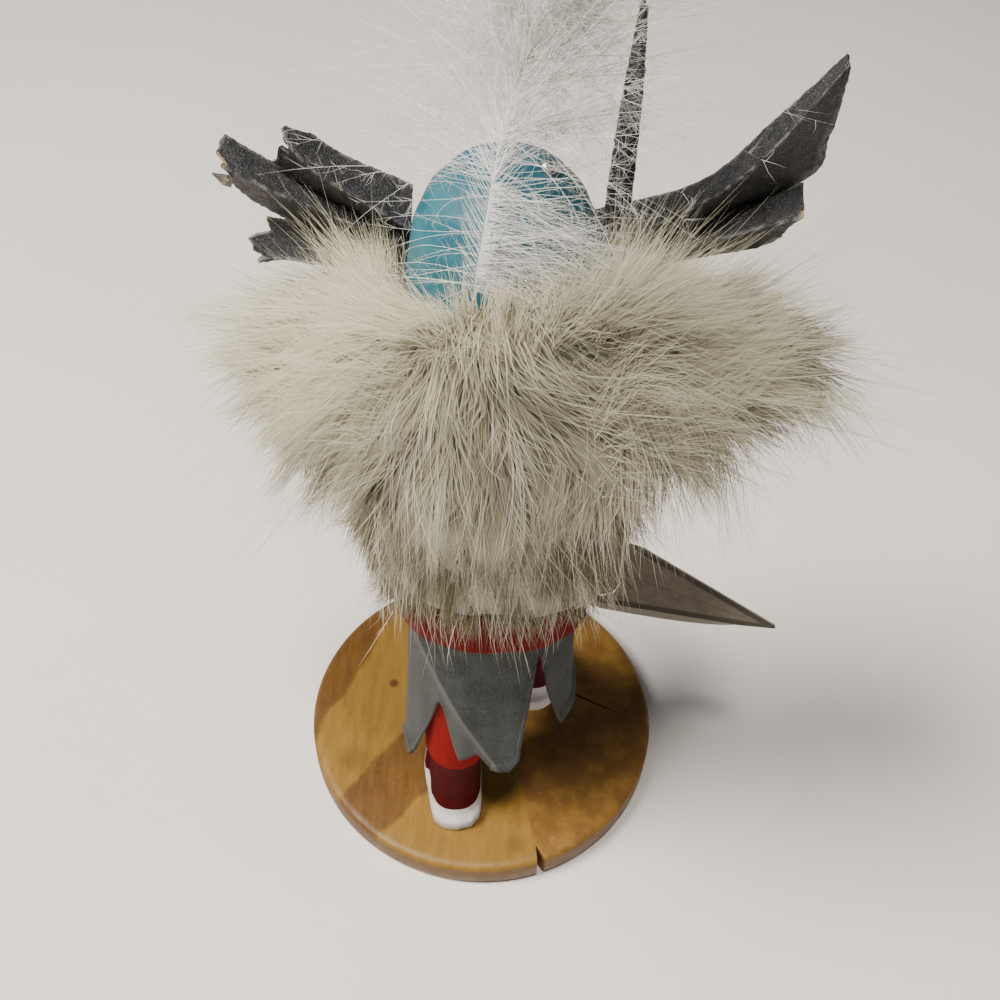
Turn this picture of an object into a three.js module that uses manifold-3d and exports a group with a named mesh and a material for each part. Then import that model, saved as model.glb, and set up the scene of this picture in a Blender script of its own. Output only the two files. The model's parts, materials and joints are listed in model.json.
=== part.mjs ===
// A carved kachina doll: a dancer on a slice of wood, with a turquoise case mask,
// black pleated wings, a down plume, a fur ruff and cape, a red sash and a suede kilt.
// Millimetres, +Z up. The dancer faces +Y, and its right hand is at +X.
// The origin is the centre of the base's underside.
import * as THREE from 'three';
import { mergeVertices } from 'three/addons/utils/BufferGeometryUtils.js';
import Module from 'manifold-3d';

const wasm = await Module();
wasm.setup();

// Driving dimensions.
const GAP = 0.3;                 // clearance between neighbouring pieces
const CONTACT = 0.05;            // clearance where a piece stands on another
const BASE_RADIUS = 38;
const BASE_HEIGHT = 7;
const BASE_EDGE = 2.2;           // rounding of the slice's edges
const BODY_X = 0.8;              // the dancer's upright axis
const BODY_Y = -19;
const HIP_HEIGHT = 62;
const SHOULDER_HEIGHT = 109;
const HEAD_BOTTOM = 115;
const HEAD_TOP = 152.4;
const HEAD_RADIUS = 12.4;
const RUFF_TOP = 141;
const KILT_TOP = 73;
const KILT_HEM = 28;
const KILT_RADIUS = 15.8;
const KILT_DEPTH = 0.7;          // front-to-back radius against the sideways one
const KILT_THICKNESS = 1.1;
const SASH_HEIGHT = 9;
const WING_THICKNESS = 1.1;
const CAPE_DEPTH = 0.72;
const BLADE_LENGTH = 39;
const BLADE_ROOT = [18, -7.5, 64];

// ---------------------------------------------------------------- helpers

const v3 = (x, y, z) => new THREE.Vector3(x, y, z);

// Drops normals and uvs, joins shared corners and removes collapsed triangles.
function weld(geometry) {
  const bare = geometry.clone();
  bare.deleteAttribute('normal');
  bare.deleteAttribute('uv');
  const merged = mergeVertices(bare, 1e-4);
  const index = merged.index.array;
  const kept = [];
  for (let i = 0; i < index.length; i += 3) {
    const [a, b, c] = [index[i], index[i + 1], index[i + 2]];
    if (a !== b && b !== c && c !== a) kept.push(a, b, c);
  }
  merged.setIndex(kept);
  return merged;
}

function toSolid(geometry) {
  const welded = weld(geometry);
  return new wasm.Manifold(new wasm.Mesh({
    numProp: 3,
    vertProperties: new Float32Array(welded.attributes.position.array),
    triVerts: new Uint32Array(welded.index.array),
  }));
}

function toGeometry(solid) {
  const mesh = solid.getMesh();
  const geometry = new THREE.BufferGeometry();
  geometry.setAttribute('position', new THREE.BufferAttribute(new Float32Array(mesh.vertProperties), 3));
  geometry.setIndex(new THREE.BufferAttribute(new Uint32Array(mesh.triVerts), 1));
  return geometry;
}

const cutAway = (solid, ...cuts) => cuts.reduce((rest, cut) => rest.subtract(cut), solid);

const join = (...geometries) => geometries.map(toSolid).reduce((sum, next) => sum.add(next));

// A turned form about +Z from [radius, height] pairs.
function turned(pairs, segments = 32) {
  const points = pairs.map(([r, z]) => new THREE.Vector2(r, z));
  return new THREE.LatheGeometry(points, segments).rotateX(Math.PI / 2);
}

// Moves each corner of a geometry by a function that changes the point in place.
function reshape(geometry, change) {
  const position = geometry.attributes.position;
  const point = new THREE.Vector3();
  for (let i = 0; i < position.count; i += 1) {
    change(point.fromBufferAttribute(position, i));
    position.setXYZ(i, point.x, point.y, point.z);
  }
  return geometry;
}

// A round-ended tapering limb from one joint to the next.
function limb(from, to, radiusFrom, radiusTo, segments = 12, steps = 3) {
  const length = from.distanceTo(to);
  const pairs = [];
  for (let i = 0; i <= steps; i += 1) {
    const a = (i / steps - 1) * Math.PI / 2;
    pairs.push([radiusFrom * Math.cos(a), radiusFrom * Math.sin(a)]);
  }
  for (let i = 0; i <= steps; i += 1) {
    const a = i / steps * Math.PI / 2;
    pairs.push([radiusTo * Math.cos(a), length + radiusTo * Math.sin(a)]);
  }
  pairs[0][0] = 0;
  pairs[pairs.length - 1][0] = 0;
  const turn = new THREE.Quaternion().setFromUnitVectors(v3(0, 0, 1), to.clone().sub(from).normalize());
  return turned(pairs, segments).applyQuaternion(turn).translate(from.x, from.y, from.z);
}

// A thin sheet folded along curves that run from root to end, thickened towards +Y.
// The curves are listed from the top down on the +X side and from the bottom up on the other.
function pleatedSheet(folds, stations, thickness) {
  const box = new THREE.BoxGeometry(1, 1, 1, stations, folds.length - 1, 1);
  return reshape(box, (p) => {
    const fold = folds[Math.round((0.5 - p.y) * (folds.length - 1))];
    const back = (0.5 - p.z) * thickness;
    p.copy(fold.getPoint(p.x + 0.5));
    p.y += back;
  });
}

const outline = (pairs) => new THREE.Shape(pairs.map(([x, y]) => new THREE.Vector2(x, y)));

const fold = (...points) => new THREE.CatmullRomCurve3(points.map((p) => v3(...p)), false, 'chordal');

const group = new THREE.Group();

function place(name, geometry, color, roughness, metalness = 0) {
  const mesh = new THREE.Mesh(geometry, new THREE.MeshStandardMaterial({ color, roughness, metalness }));
  mesh.name = name;
  group.add(mesh);
}

// ------------------------------------------------------------------- base

// A slice of a branch: rounded edges, and a V-shaped drying check in the near rim.
function makeBase() {
  const edge = [];
  const steps = 3;
  for (let i = 0; i <= steps; i += 1) {
    const a = i / steps * Math.PI / 2;
    edge.push([BASE_RADIUS - BASE_EDGE + BASE_EDGE * Math.sin(a), BASE_EDGE - BASE_EDGE * Math.cos(a)]);
  }
  const upper = edge.map(([r, z]) => [r, BASE_HEIGHT - z * 0.6]).reverse();
  const slice = turned([[0, 0], ...edge, ...upper, [0, BASE_HEIGHT]], 56);
  const notch = outline([[-1.6, -4], [1.6, -4], [-0.3, 3.2]]);
  const cut = new THREE.ExtrudeGeometry(notch, { depth: BASE_HEIGHT + 2, bevelEnabled: false });
  cut.translate(0, -BASE_RADIUS, -1);
  cut.rotateZ(Math.atan2(13.4, 35.9));
  return toGeometry(toSolid(slice).subtract(toSolid(cut)));
}

// ----------------------------------------------------------------- figure

const SOLE_LENGTH = 24;
const SOLE_HEIGHT = 3.4;
const VAMP_HEIGHT = 6.5;
const HEEL_HEIGHT = 5.6;
const SHAFT_RADIUS = 5.3;
const BOOT_HEIGHT = 19.5;

// The outline of a moccasin's sole: heel at the origin, toe towards +Y.
function soleShape() {
  const shape = new THREE.Shape();
  shape.moveTo(-5.4, 5.4);
  shape.bezierCurveTo(-5.6, 9, -6.5, 12, -6.5, 15);
  shape.bezierCurveTo(-6.5, 20, -4, SOLE_LENGTH, -0.5, SOLE_LENGTH);
  shape.bezierCurveTo(3.5, SOLE_LENGTH, 5.8, 19, 5.8, 15);
  shape.bezierCurveTo(5.8, 11, 5.2, 9, 5.4, 5.4);
  shape.bezierCurveTo(5.4, 2, 3.6, 0, 0, 0);
  shape.bezierCurveTo(-3.6, 0, -5.4, 2, -5.4, 5.4);
  return shape;
}

// A boot in its own frame, standing on z = 0 with the back of its heel at the origin.
function makeBoot() {
  const flat = { bevelEnabled: false, curveSegments: 3 };
  const sole = new THREE.ExtrudeGeometry(soleShape(), { ...flat, depth: SOLE_HEIGHT });
  const vamp = new THREE.ExtrudeGeometry(soleShape(), { ...flat, depth: VAMP_HEIGHT, steps: 2 });
  reshape(vamp, (p) => {
    const rise = p.z / VAMP_HEIGHT;
    p.x *= 0.94 - 0.34 * rise * rise;
    p.y = 1.2 + 2 * rise + p.y * (0.93 - 0.3 * rise);
    p.z = SOLE_HEIGHT - 0.2 + VAMP_HEIGHT * rise * (1 - 0.25 * Math.max(0, p.y - 8) / 16);
  });
  const heel = new THREE.CylinderGeometry(SHAFT_RADIUS, SHAFT_RADIUS + 1.4, HEEL_HEIGHT, 14);
  heel.rotateX(Math.PI / 2).translate(0, 7.4, HEEL_HEIGHT / 2);
  reshape(heel, (p) => {
    p.x *= p.z < 1 ? 0.8 : 1;
  });
  const shaft = turned([[0, 1], [SHAFT_RADIUS, 1], [SHAFT_RADIUS, 12],
    [SHAFT_RADIUS - 0.2, BOOT_HEIGHT], [0, BOOT_HEIGHT]], 14).translate(0, 8, 0);
  return join(sole, vamp, heel, shaft);
}

function placedBoot(x, y, z, turnDegrees, tiltDegrees) {
  return makeBoot().rotate([tiltDegrees, 0, 0]).rotate([0, 0, turnDegrees]).translate([x, y, z]);
}

const LEFT_HEEL = v3(-4.3, -30, BASE_HEIGHT);
const RIGHT_HEEL = v3(9.6, -9, 20);
const RIGHT_HAND = v3(20.8, -8.5, 66);
const LEFT_HAND = v3(-12, 2, 80);

// Each arm as limbs from joint to joint, with the radius at either end.
const ARM_LIMBS = [
  [v3(-9.5, -18, 105), v3(-13, -17, 88), 3.6, 3.2],
  [v3(-13, -17, 88), LEFT_HAND, 3.2, 2.9],
  [LEFT_HAND, LEFT_HAND.clone().add(v3(0.4, 4, -0.5)), 3.2, 3.4],
  [v3(11, -18, 105), v3(15.2, -17, 88), 3.6, 3],
  [v3(15.2, -17, 88), RIGHT_HAND, 3, 2.8],
  [RIGHT_HAND, RIGHT_HAND.clone().add(v3(0.8, 1.5, -3)), 3.1, 3.1],
];

const armForms = (grow = 0) => ARM_LIMBS.map(([from, to, a, b]) => limb(from, to, a + grow, b + grow, 8, 2));

// The raised leg, used for the leg and, grown, for the kilt's opening.
const RIGHT_HIP = v3(6, -18, HIP_HEIGHT);
const RIGHT_KNEE = v3(9.8, 1, 50);

function makeFigure() {
  const torso = turned([[0, HIP_HEIGHT - 8], [8, HIP_HEIGHT - 7], [11.8, HIP_HEIGHT - 1], [12, 67],
    [10.6, 76], [9.8, 86], [11, 98], [10.4, 105], [7, SHOULDER_HEIGHT + 2], [0, HEAD_BOTTOM - GAP]], 20);
  torso.scale(1, 0.7, 1).translate(BODY_X, BODY_Y, 0);
  const leftLeg = limb(v3(-4.2, -19.5, HIP_HEIGHT), v3(-4.9, -21.3, 29), 7, 6.3);
  const thigh = limb(RIGHT_HIP, RIGHT_KNEE, 7, 6);
  const shin = limb(RIGHT_KNEE, v3(10.2, -0.2, 41), 6, 5.9);
  return join(torso, leftLeg, thigh, shin, ...armForms())
    .add(placedBoot(LEFT_HEEL.x, LEFT_HEEL.y, LEFT_HEEL.z + CONTACT, 5, 0))
    .add(placedBoot(RIGHT_HEEL.x, RIGHT_HEEL.y, RIGHT_HEEL.z, -4, -5));
}

// ------------------------------------------------------------------- head

// Profile of the case mask, thicker by the given amount.
const headPairs = (grow) => [[0, HEAD_BOTTOM - grow], [10.4 + grow, HEAD_BOTTOM - grow], [11.8 + grow, 119],
  [HEAD_RADIUS + grow, 128], [HEAD_RADIUS - 0.2 + grow, 137.5], [11.3 + grow, 143.4], [9.4 + grow, 147.6],
  [6.6 + grow, 150.5 + grow * 0.6], [3.3 + grow, 152 + grow], [0, HEAD_TOP + grow]];

const headForm = (grow = 0) => turned(headPairs(grow), 30).translate(BODY_X, BODY_Y, 0);

const EYE_HEIGHT = 137;
const EYE_SPREAD = 4.4;
const MOUTH_HEIGHT = 127;

// Two narrow eye slots and a small wedge mouth, cut shallow in the front.
function makeHead() {
  const front = BODY_Y + HEAD_RADIUS;
  const eyes = [-EYE_SPREAD, EYE_SPREAD].map((x) => new THREE.BoxGeometry(4, 1.6, 1.4)
    .translate(BODY_X + x, front - 1.2, EYE_HEIGHT));
  const wedge = outline([[-2.6, 0], [2.6, 0], [0, 4]]);
  const mouth = new THREE.ExtrudeGeometry(wedge, { depth: 1.6, bevelEnabled: false });
  mouth.rotateX(Math.PI / 2).translate(BODY_X, front + 0.8, MOUTH_HEIGHT);
  return cutAway(toSolid(headForm()), ...[...eyes, mouth].map(toSolid));
}

// ------------------------------------------------------------------ wings

function makeRightWing() {
  const blade = pleatedSheet([
    fold([11.7, -13.1, 142.3], [24, -13.6, 147], [31.2, -13.6, 155], [37.2, -14.5, 163.3]),
    fold([11.7, -17.9, 139.9], [20.6, -18.9, 145], [28.7, -18.5, 151.3], [37.5, -15.6, 162.5]),
    fold([11.7, -14.1, 136.5], [35.3, -14.1, 147.1], [38, -14.1, 153.9], [37.9, -15, 161.9]),
  ], 8, WING_THICKNESS);
  const cup = pleatedSheet([
    fold([11.7, -14.1, 137.5], [25.3, -14.1, 143.3], [36.2, -14.5, 147.9]),
    fold([11.7, -17, 134.5], [25.3, -18.3, 141.3], [35.8, -19.1, 145.7]),
    fold([11.7, -14.1, 133], [23.4, -15, 136.6], [33.2, -15.5, 139.6], [35.2, -17, 143.4]),
  ], 4, WING_THICKNESS);
  const featherOutline = outline([[-1.7, 0], [1.7, 0], [0.7, 28.5], [-0.3, 29]]);
  const feather = new THREE.ExtrudeGeometry(featherOutline, { depth: WING_THICKNESS, bevelEnabled: false });
  feather.rotateX(Math.PI / 2).translate(14.2, -15.4, 139.2);
  return join(blade, cup, feather).subtract(toSolid(headForm(GAP)));
}

function makeLeftWing() {
  const upper = pleatedSheet([
    fold([-10.7, -14.1, 137.5], [-17.5, -14.5, 140.9], [-23.4, -15, 144.4], [-27.5, -15, 148.3]),
    fold([-10.7, -17.9, 141.3], [-16.6, -18.9, 145.7], [-21.9, -18.5, 149.2], [-25.9, -16, 152.5]),
    fold([-10.7, -13.1, 144.8], [-14.1, -13.1, 146.3], [-19.9, -13.1, 149], [-24.9, -13.6, 153.5]),
  ], 6, WING_THICKNESS);
  const cup = pleatedSheet([
    fold([-10.7, -14.1, 134], [-21.4, -15.5, 138.5], [-29.7, -16, 143.2], [-33.2, -17, 148.2]),
    fold([-10.7, -16, 137], [-21.4, -17.9, 143.4], [-27.7, -18.9, 146.9], [-33.5, -17.9, 149.4]),
    fold([-10.7, -14.1, 139.9], [-21.4, -14.1, 144.3], [-28, -13.6, 147.7], [-33.1, -13.6, 151]),
  ], 6, WING_THICKNESS);
  const lower = pleatedSheet([
    fold([-10.7, -15, 134.6], [-21.4, -15, 135.4], [-31.4, -16, 134.4]),
    fold([-10.7, -17.9, 135], [-21.4, -18.3, 136], [-31.4, -18.5, 137.7]),
    fold([-10.7, -15, 137.9], [-21.4, -15.4, 139.9], [-30.8, -16, 141.8]),
  ], 4, WING_THICKNESS);
  return join(upper, cup, lower).subtract(toSolid(headForm(GAP)));
}

// -------------------------------------------------------------- head stud

// A small shiny bit on the crown, tipped to the dome's slope.
function studForm(grow = 0) {
  const radius = 1.1 + grow;
  const stud = turned([[0, -0.6], [radius, -0.6], [radius, 0.5 + grow], [radius - 0.4, 1 + grow],
    [0, 1.1 + grow]], 10);
  return stud.rotateX(0.1).rotateY(0.4).translate(5.2, -20.3, 151.4);
}

const makeStud = () => toSolid(studForm()).subtract(toSolid(headForm(CONTACT)));

// ------------------------------------------------------------------ plume

function makePlume() {
  const puff = new THREE.SphereGeometry(1, 20, 10);
  reshape(puff, (p) => {
    const barbs = 1 + 0.07 * Math.sin(Math.atan2(p.y, p.x) * 9);
    const taper = (p.y < 0 ? 1 + 0.5 * p.y : 1 - 0.3 * p.y) * barbs;
    p.set(p.x * 18 * taper, -p.z * 7 * taper, p.y * 14);
  });
  puff.translate(0.5, -25, 164);
  const vane = new THREE.Shape();
  vane.moveTo(-0.8, 0);
  vane.bezierCurveTo(-4.6, 4, -5, 10, -4.6, 17);
  vane.lineTo(4.6, 17);
  vane.bezierCurveTo(5, 10, 4.6, 4, 0.8, 0);
  const blade = new THREE.ExtrudeGeometry(vane, { depth: 1.2, bevelEnabled: false, curveSegments: 5 });
  blade.rotateX(Math.PI / 2).translate(-1.4, -31.9, RUFF_TOP + 0.6);
  reshape(blade, (p) => {
    p.y += (p.z - RUFF_TOP) * 0.2;
  });
  return cutAway(join(puff, blade), toSolid(headForm(GAP)), toSolid(studForm(GAP)));
}

// -------------------------------------------------------------------- fur

// Raised locks: grooves that run with the hair, fading out at the skin.
function locks(point, count, height, sway) {
  const angle = Math.atan2(point.y, point.x);
  const wave = Math.sin(angle * count + sway) + 0.5 * Math.sin(angle * count * 0.37 + 1.7 * sway);
  return wave * height;
}

const RUFF_LEFT = 35;
const RUFF_RIGHT = 44;
const RUFF_BACK = 25;
const RUFF_FRONT = 23;
const BACK_DROOP = 8;
const FRONT_DROOP = 6;
const CHIN = 116;
const RIGHT_TUCK = 6.5;
const FULLNESS = 1.5;
const RIGHT_BACK_FULLNESS = 0.85;

// The ruff: a thick ring of long hair, widest at the shoulders, drooping behind and
// lower in front, where the mask's face looks out over it. Its right lobe is tucked up
// underneath, behind the shoulder.
function makeRuff() {
  const inner = HEAD_RADIUS + 2 * GAP;
  const outer = 38;
  const pairs = [[inner, 114], [inner, RUFF_TOP - 1], [14.5, RUFF_TOP + 0.4], [19, RUFF_TOP - 0.6],
    [25, 137.5], [31, 132.5], [36, 127.5], [38, 123.5], [36.5, 119.5], [32, 115.5], [26, 112], [20, 110],
    [16, 110], [inner, 111], [inner, 114]];
  return reshape(turned(pairs.reverse(), 52), (p) => {
    const radius = Math.hypot(p.x, p.y);
    const reach = Math.max(0, (radius - inner) / (outer - inner));
    const across = p.x / radius;
    const along = Math.abs(p.y / radius);
    const side = across < 0 ? RUFF_LEFT : RUFF_RIGHT;
    const depth = p.y < 0 ? RUFF_BACK : RUFF_FRONT;
    const fullness = p.y < 0 && across > 0 ? RIGHT_BACK_FULLNESS : FULLNESS;
    const limit = side + (depth - side) * along ** fullness;
    const wanted = inner + (limit - inner) * reach + locks(p, 18, 1.1 * reach, p.z * 0.12);
    const droop = along ** 2 * (p.y < 0 ? BACK_DROOP : FRONT_DROOP);
    if (p.z > 120) p.z -= 9.5 * across ** 2 * (1 - reach) * (p.z - 120) / 21;
    if (p.y > 0 && p.z > CHIN) p.z = CHIN + (p.z - CHIN) * (1 - 0.64 * along ** 1.3);
    const tucked = p.y < 0 && across > 0 ? Math.max(0, (126 - p.z) / 14) : 0;
    p.z += RIGHT_TUCK * 2 * across * along * reach * tucked;
    p.set(p.x * wanted / radius + BODY_X, p.y * wanted / radius + BODY_Y, p.z - droop * reach ** 1.3);
  });
}

// The cape: a fur tube from under the ruff to the sash, its ragged hem lower at the sides.
function makeCape() {
  const pairs = [[15, 109.6], [18, 109.2], [21, 105.4], [21.8, 99], [21.2, 91], [20, 83],
    [18.9, 77], [18.2, 73.5], [17.2, 74.5], [17.4, 79], [18.2, 87], [18.8, 97], [18.6, 104], [15, 109.6]];
  const ring = reshape(turned(pairs.reverse(), 42), (p) => {
    const radius = Math.hypot(p.x, p.y);
    const across = p.x / radius;
    const outside = radius > 18.9 || p.z < 75;
    const wanted = radius + (outside ? locks(p, 15, 0.5, p.z * 0.2) : 0);
    const low = Math.max(0, (84 - p.z) / 9);
    p.z += low * (Math.sin(Math.atan2(p.y, p.x) * 11) * 1.1 - 8.5 * across ** 2 + 5.5);
    p.x = p.x * wanted / radius + BODY_X;
    p.y = p.y * CAPE_DEPTH * wanted / radius + BODY_Y;
  });
  return cutAway(toSolid(ring), ...armForms(2 * GAP).map(toSolid));
}

// ----------------------------------------------------------- kilt and sash

// A ring of given radius and thickness about the dancer's axis, as deep as the kilt.
function waistRing(bottom, top, radiusBottom, radiusTop, thickness, rows, segments) {
  const pairs = [];
  for (let i = 0; i <= rows; i += 1) {
    const t = i / rows;
    pairs.push([radiusBottom + (radiusTop - radiusBottom) * t, bottom + (top - bottom) * t]);
  }
  const inside = pairs.map(([r, z]) => [r - thickness, z]).reverse();
  return turned([...pairs, ...inside, pairs[0]], segments);
}

function makeKilt() {
  const tube = waistRing(KILT_HEM, KILT_TOP, KILT_RADIUS, KILT_RADIUS - 1.4, KILT_THICKNESS, 3, 40);
  reshape(tube, (p) => {
    const low = (KILT_TOP - p.z) / (KILT_TOP - KILT_HEM);
    const wave = 1 + 0.03 * low * Math.sin(Math.atan2(p.y, p.x) * 7 + 0.6);
    p.x = p.x * wave + 1;
    p.y = p.y * wave * (KILT_DEPTH + 0.06 * low) + BODY_Y + 0.6;
  });
  const behind = (...corners) => toSolid(new THREE.ExtrudeGeometry(outline(corners), {
    depth: 24,
    bevelEnabled: false,
  }).rotateX(Math.PI / 2).translate(0, BODY_Y, 0));
  const low = KILT_HEM - 1;
  const slits = [
    behind([-7.6, 52.5], [-12.8, low], [-4.4, low], [-3.8, 36]),
    behind([-4.4, low], [-3.8, 36.1], [-0.4, 38.6], [2, 34], [5.6, 34], [6.8, 37], [9, low]),
    behind([7, low], [7, 70], [9.2, 70], [17, 38], [20, low]),
  ];
  const side = outline([[-30, low], [-27, 37], [-15, 60], [10, 60], [10, low]]);
  const lifted = toSolid(new THREE.ExtrudeGeometry(side, { depth: 18, bevelEnabled: false })
    .rotateX(Math.PI / 2).rotateZ(Math.PI / 2).translate(8.5, 0, 0));
  const way = toSolid(limb(RIGHT_HIP, RIGHT_KNEE, 7.6, 7, 16));
  const fall = toSolid(new THREE.BoxGeometry(16, 16, 50).translate(9.6, 0, 30));
  return cutAway(toSolid(tube), ...slits, lifted, way, fall);
}

function makeSash() {
  const bottom = KILT_TOP - 3;
  const ring = waistRing(bottom, bottom + SASH_HEIGHT, KILT_RADIUS + 0.4, KILT_RADIUS - 0.3, 1.2, 1, 40);
  reshape(ring, (p) => {
    p.x += 1;
    p.y = p.y * KILT_DEPTH + BODY_Y + 0.6;
  });
  return cutAway(toSolid(ring), ...armForms(GAP).map(toSolid));
}

// ------------------------------------------------------------- hand blade

// A flat leaf, its length running out and down from the hand, its face leaning back.
function makeHandBlade() {
  const shape = new THREE.Shape();
  shape.moveTo(-1, -3.4);
  shape.lineTo(4, -4.8);
  shape.quadraticCurveTo(24, -3.6, 31, -1.5);
  shape.lineTo(BLADE_LENGTH, -0.3);
  shape.lineTo(BLADE_LENGTH - 0.3, 0.5);
  shape.lineTo(9, 8);
  shape.quadraticCurveTo(2, 8.6, -1, 4);
  const blade = new THREE.ExtrudeGeometry(shape, { depth: 1, bevelEnabled: false, curveSegments: 6 });
  const along = v3(0.949, -0.013, -0.312);
  const across = v3(0.249, 0.639, 0.73);
  const through = along.clone().cross(across).normalize();
  const frame = new THREE.Matrix4().makeBasis(along, across, through).setPosition(...BLADE_ROOT);
  return cutAway(toSolid(blade.applyMatrix4(frame)), ...armForms(GAP).map(toSolid));
}

// -------------------------------------------------------------- assembly

place('base', makeBase(), 0xa67a38, 0.35);
place('figure', toGeometry(makeFigure()), 0x8a1420, 0.6);
place('head', toGeometry(makeHead()), 0x2a93b0, 0.55);
place('wing_right', toGeometry(makeRightWing()), 0x24262a, 0.6);
place('wing_left', toGeometry(makeLeftWing()), 0x24262a, 0.6);
place('head_plume', toGeometry(makePlume()), 0xe4e0da, 0.9);
place('head_stud', toGeometry(makeStud()), 0xc9ccd0, 0.2, 0.9);
place('fur_ruff', weld(makeRuff()), 0xd6cfbb, 0.95);
place('fur_cape', toGeometry(makeCape()), 0xcfc6a8, 0.95);
place('waist_sash', toGeometry(makeSash()), 0xb01018, 0.8);
place('kilt', toGeometry(makeKilt()), 0x7d8488, 0.95);
place('hand_blade', toGeometry(makeHandBlade()), 0x6d6558, 0.7);

export default group;
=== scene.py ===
# %% [markdown]
# # A kachina doll, dressed over its carved parts
# The doll is a small carved dancer on a slice of branch, seen from behind and above. It wears a
# turquoise case mask, black pleated wings, a down plume, a fur ruff and cape, a red felt sash and
# a grey suede kilt. The carved solids come packed from the workshop frame, and this lesson gives
# them their skins: hair, felt, suede, worn paint and varnish.
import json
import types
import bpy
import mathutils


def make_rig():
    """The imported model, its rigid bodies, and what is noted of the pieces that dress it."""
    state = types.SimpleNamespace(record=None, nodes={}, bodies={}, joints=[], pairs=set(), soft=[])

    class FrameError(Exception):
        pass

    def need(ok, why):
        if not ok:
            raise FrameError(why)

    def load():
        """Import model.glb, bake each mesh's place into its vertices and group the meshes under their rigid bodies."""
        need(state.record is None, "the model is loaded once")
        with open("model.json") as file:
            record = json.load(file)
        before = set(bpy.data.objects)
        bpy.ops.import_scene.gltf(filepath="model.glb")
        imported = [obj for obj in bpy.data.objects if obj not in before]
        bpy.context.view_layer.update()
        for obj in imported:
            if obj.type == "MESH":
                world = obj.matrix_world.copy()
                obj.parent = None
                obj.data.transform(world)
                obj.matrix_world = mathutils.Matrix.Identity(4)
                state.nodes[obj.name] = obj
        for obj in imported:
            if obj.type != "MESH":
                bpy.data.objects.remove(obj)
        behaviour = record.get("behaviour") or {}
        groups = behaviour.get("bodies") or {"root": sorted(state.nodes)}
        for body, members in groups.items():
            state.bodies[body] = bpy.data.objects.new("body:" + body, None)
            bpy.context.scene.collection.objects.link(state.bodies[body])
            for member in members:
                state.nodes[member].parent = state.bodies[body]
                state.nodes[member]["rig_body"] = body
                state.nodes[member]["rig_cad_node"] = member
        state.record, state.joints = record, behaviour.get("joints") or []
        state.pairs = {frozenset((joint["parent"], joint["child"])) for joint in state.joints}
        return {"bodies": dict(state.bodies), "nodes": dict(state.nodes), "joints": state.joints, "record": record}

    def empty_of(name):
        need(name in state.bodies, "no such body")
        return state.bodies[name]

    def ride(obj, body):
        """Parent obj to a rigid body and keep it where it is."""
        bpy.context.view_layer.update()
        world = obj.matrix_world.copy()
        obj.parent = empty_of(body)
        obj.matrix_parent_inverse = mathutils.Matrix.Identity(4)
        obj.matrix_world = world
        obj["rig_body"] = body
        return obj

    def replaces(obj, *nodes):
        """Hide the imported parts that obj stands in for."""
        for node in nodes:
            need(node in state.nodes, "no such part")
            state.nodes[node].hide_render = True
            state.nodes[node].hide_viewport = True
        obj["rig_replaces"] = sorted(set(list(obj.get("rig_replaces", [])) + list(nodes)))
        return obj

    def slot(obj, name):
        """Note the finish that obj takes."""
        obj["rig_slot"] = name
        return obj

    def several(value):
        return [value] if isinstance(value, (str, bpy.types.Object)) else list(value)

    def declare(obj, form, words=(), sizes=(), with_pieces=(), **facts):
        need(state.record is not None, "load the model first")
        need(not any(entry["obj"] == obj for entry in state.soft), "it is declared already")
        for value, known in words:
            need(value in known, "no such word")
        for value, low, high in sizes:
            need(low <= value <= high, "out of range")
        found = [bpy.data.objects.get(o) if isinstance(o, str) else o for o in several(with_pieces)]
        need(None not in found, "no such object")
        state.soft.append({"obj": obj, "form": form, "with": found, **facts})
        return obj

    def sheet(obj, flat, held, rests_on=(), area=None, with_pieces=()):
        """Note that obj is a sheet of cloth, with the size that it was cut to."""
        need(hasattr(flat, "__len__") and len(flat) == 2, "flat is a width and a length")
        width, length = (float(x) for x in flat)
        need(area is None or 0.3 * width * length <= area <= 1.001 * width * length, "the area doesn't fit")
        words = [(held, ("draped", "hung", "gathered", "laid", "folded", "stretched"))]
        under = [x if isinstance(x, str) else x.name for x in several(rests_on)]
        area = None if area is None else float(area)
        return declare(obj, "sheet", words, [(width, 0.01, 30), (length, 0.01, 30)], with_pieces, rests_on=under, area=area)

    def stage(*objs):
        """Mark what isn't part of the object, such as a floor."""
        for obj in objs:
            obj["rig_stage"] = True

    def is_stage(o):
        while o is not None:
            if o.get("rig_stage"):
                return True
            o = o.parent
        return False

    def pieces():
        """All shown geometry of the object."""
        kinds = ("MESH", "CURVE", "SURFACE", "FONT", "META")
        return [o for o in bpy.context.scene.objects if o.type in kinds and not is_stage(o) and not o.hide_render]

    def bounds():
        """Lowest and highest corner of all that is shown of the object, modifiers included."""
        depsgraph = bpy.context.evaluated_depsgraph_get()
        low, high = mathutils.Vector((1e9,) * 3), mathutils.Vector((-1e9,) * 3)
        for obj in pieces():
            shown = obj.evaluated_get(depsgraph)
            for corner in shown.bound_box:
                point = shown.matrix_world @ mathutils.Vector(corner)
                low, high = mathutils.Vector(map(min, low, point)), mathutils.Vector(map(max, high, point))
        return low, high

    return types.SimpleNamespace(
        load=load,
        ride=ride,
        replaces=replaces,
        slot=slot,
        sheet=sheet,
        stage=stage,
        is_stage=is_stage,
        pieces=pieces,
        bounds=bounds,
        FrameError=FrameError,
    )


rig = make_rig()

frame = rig.load()
cad_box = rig.bounds()

import json
from math import atan2, cos, pi, radians, sin

import bmesh
import bpy
import numpy as np
from mathutils import Matrix, Vector, kdtree

MM = 0.001
MID_X, MID_Y = 0.8, -19.0
AXIS = Vector((MID_X, MID_Y, 0.0)) * MM
print("frame:", len(frame["nodes"]), "carved solids")

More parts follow.
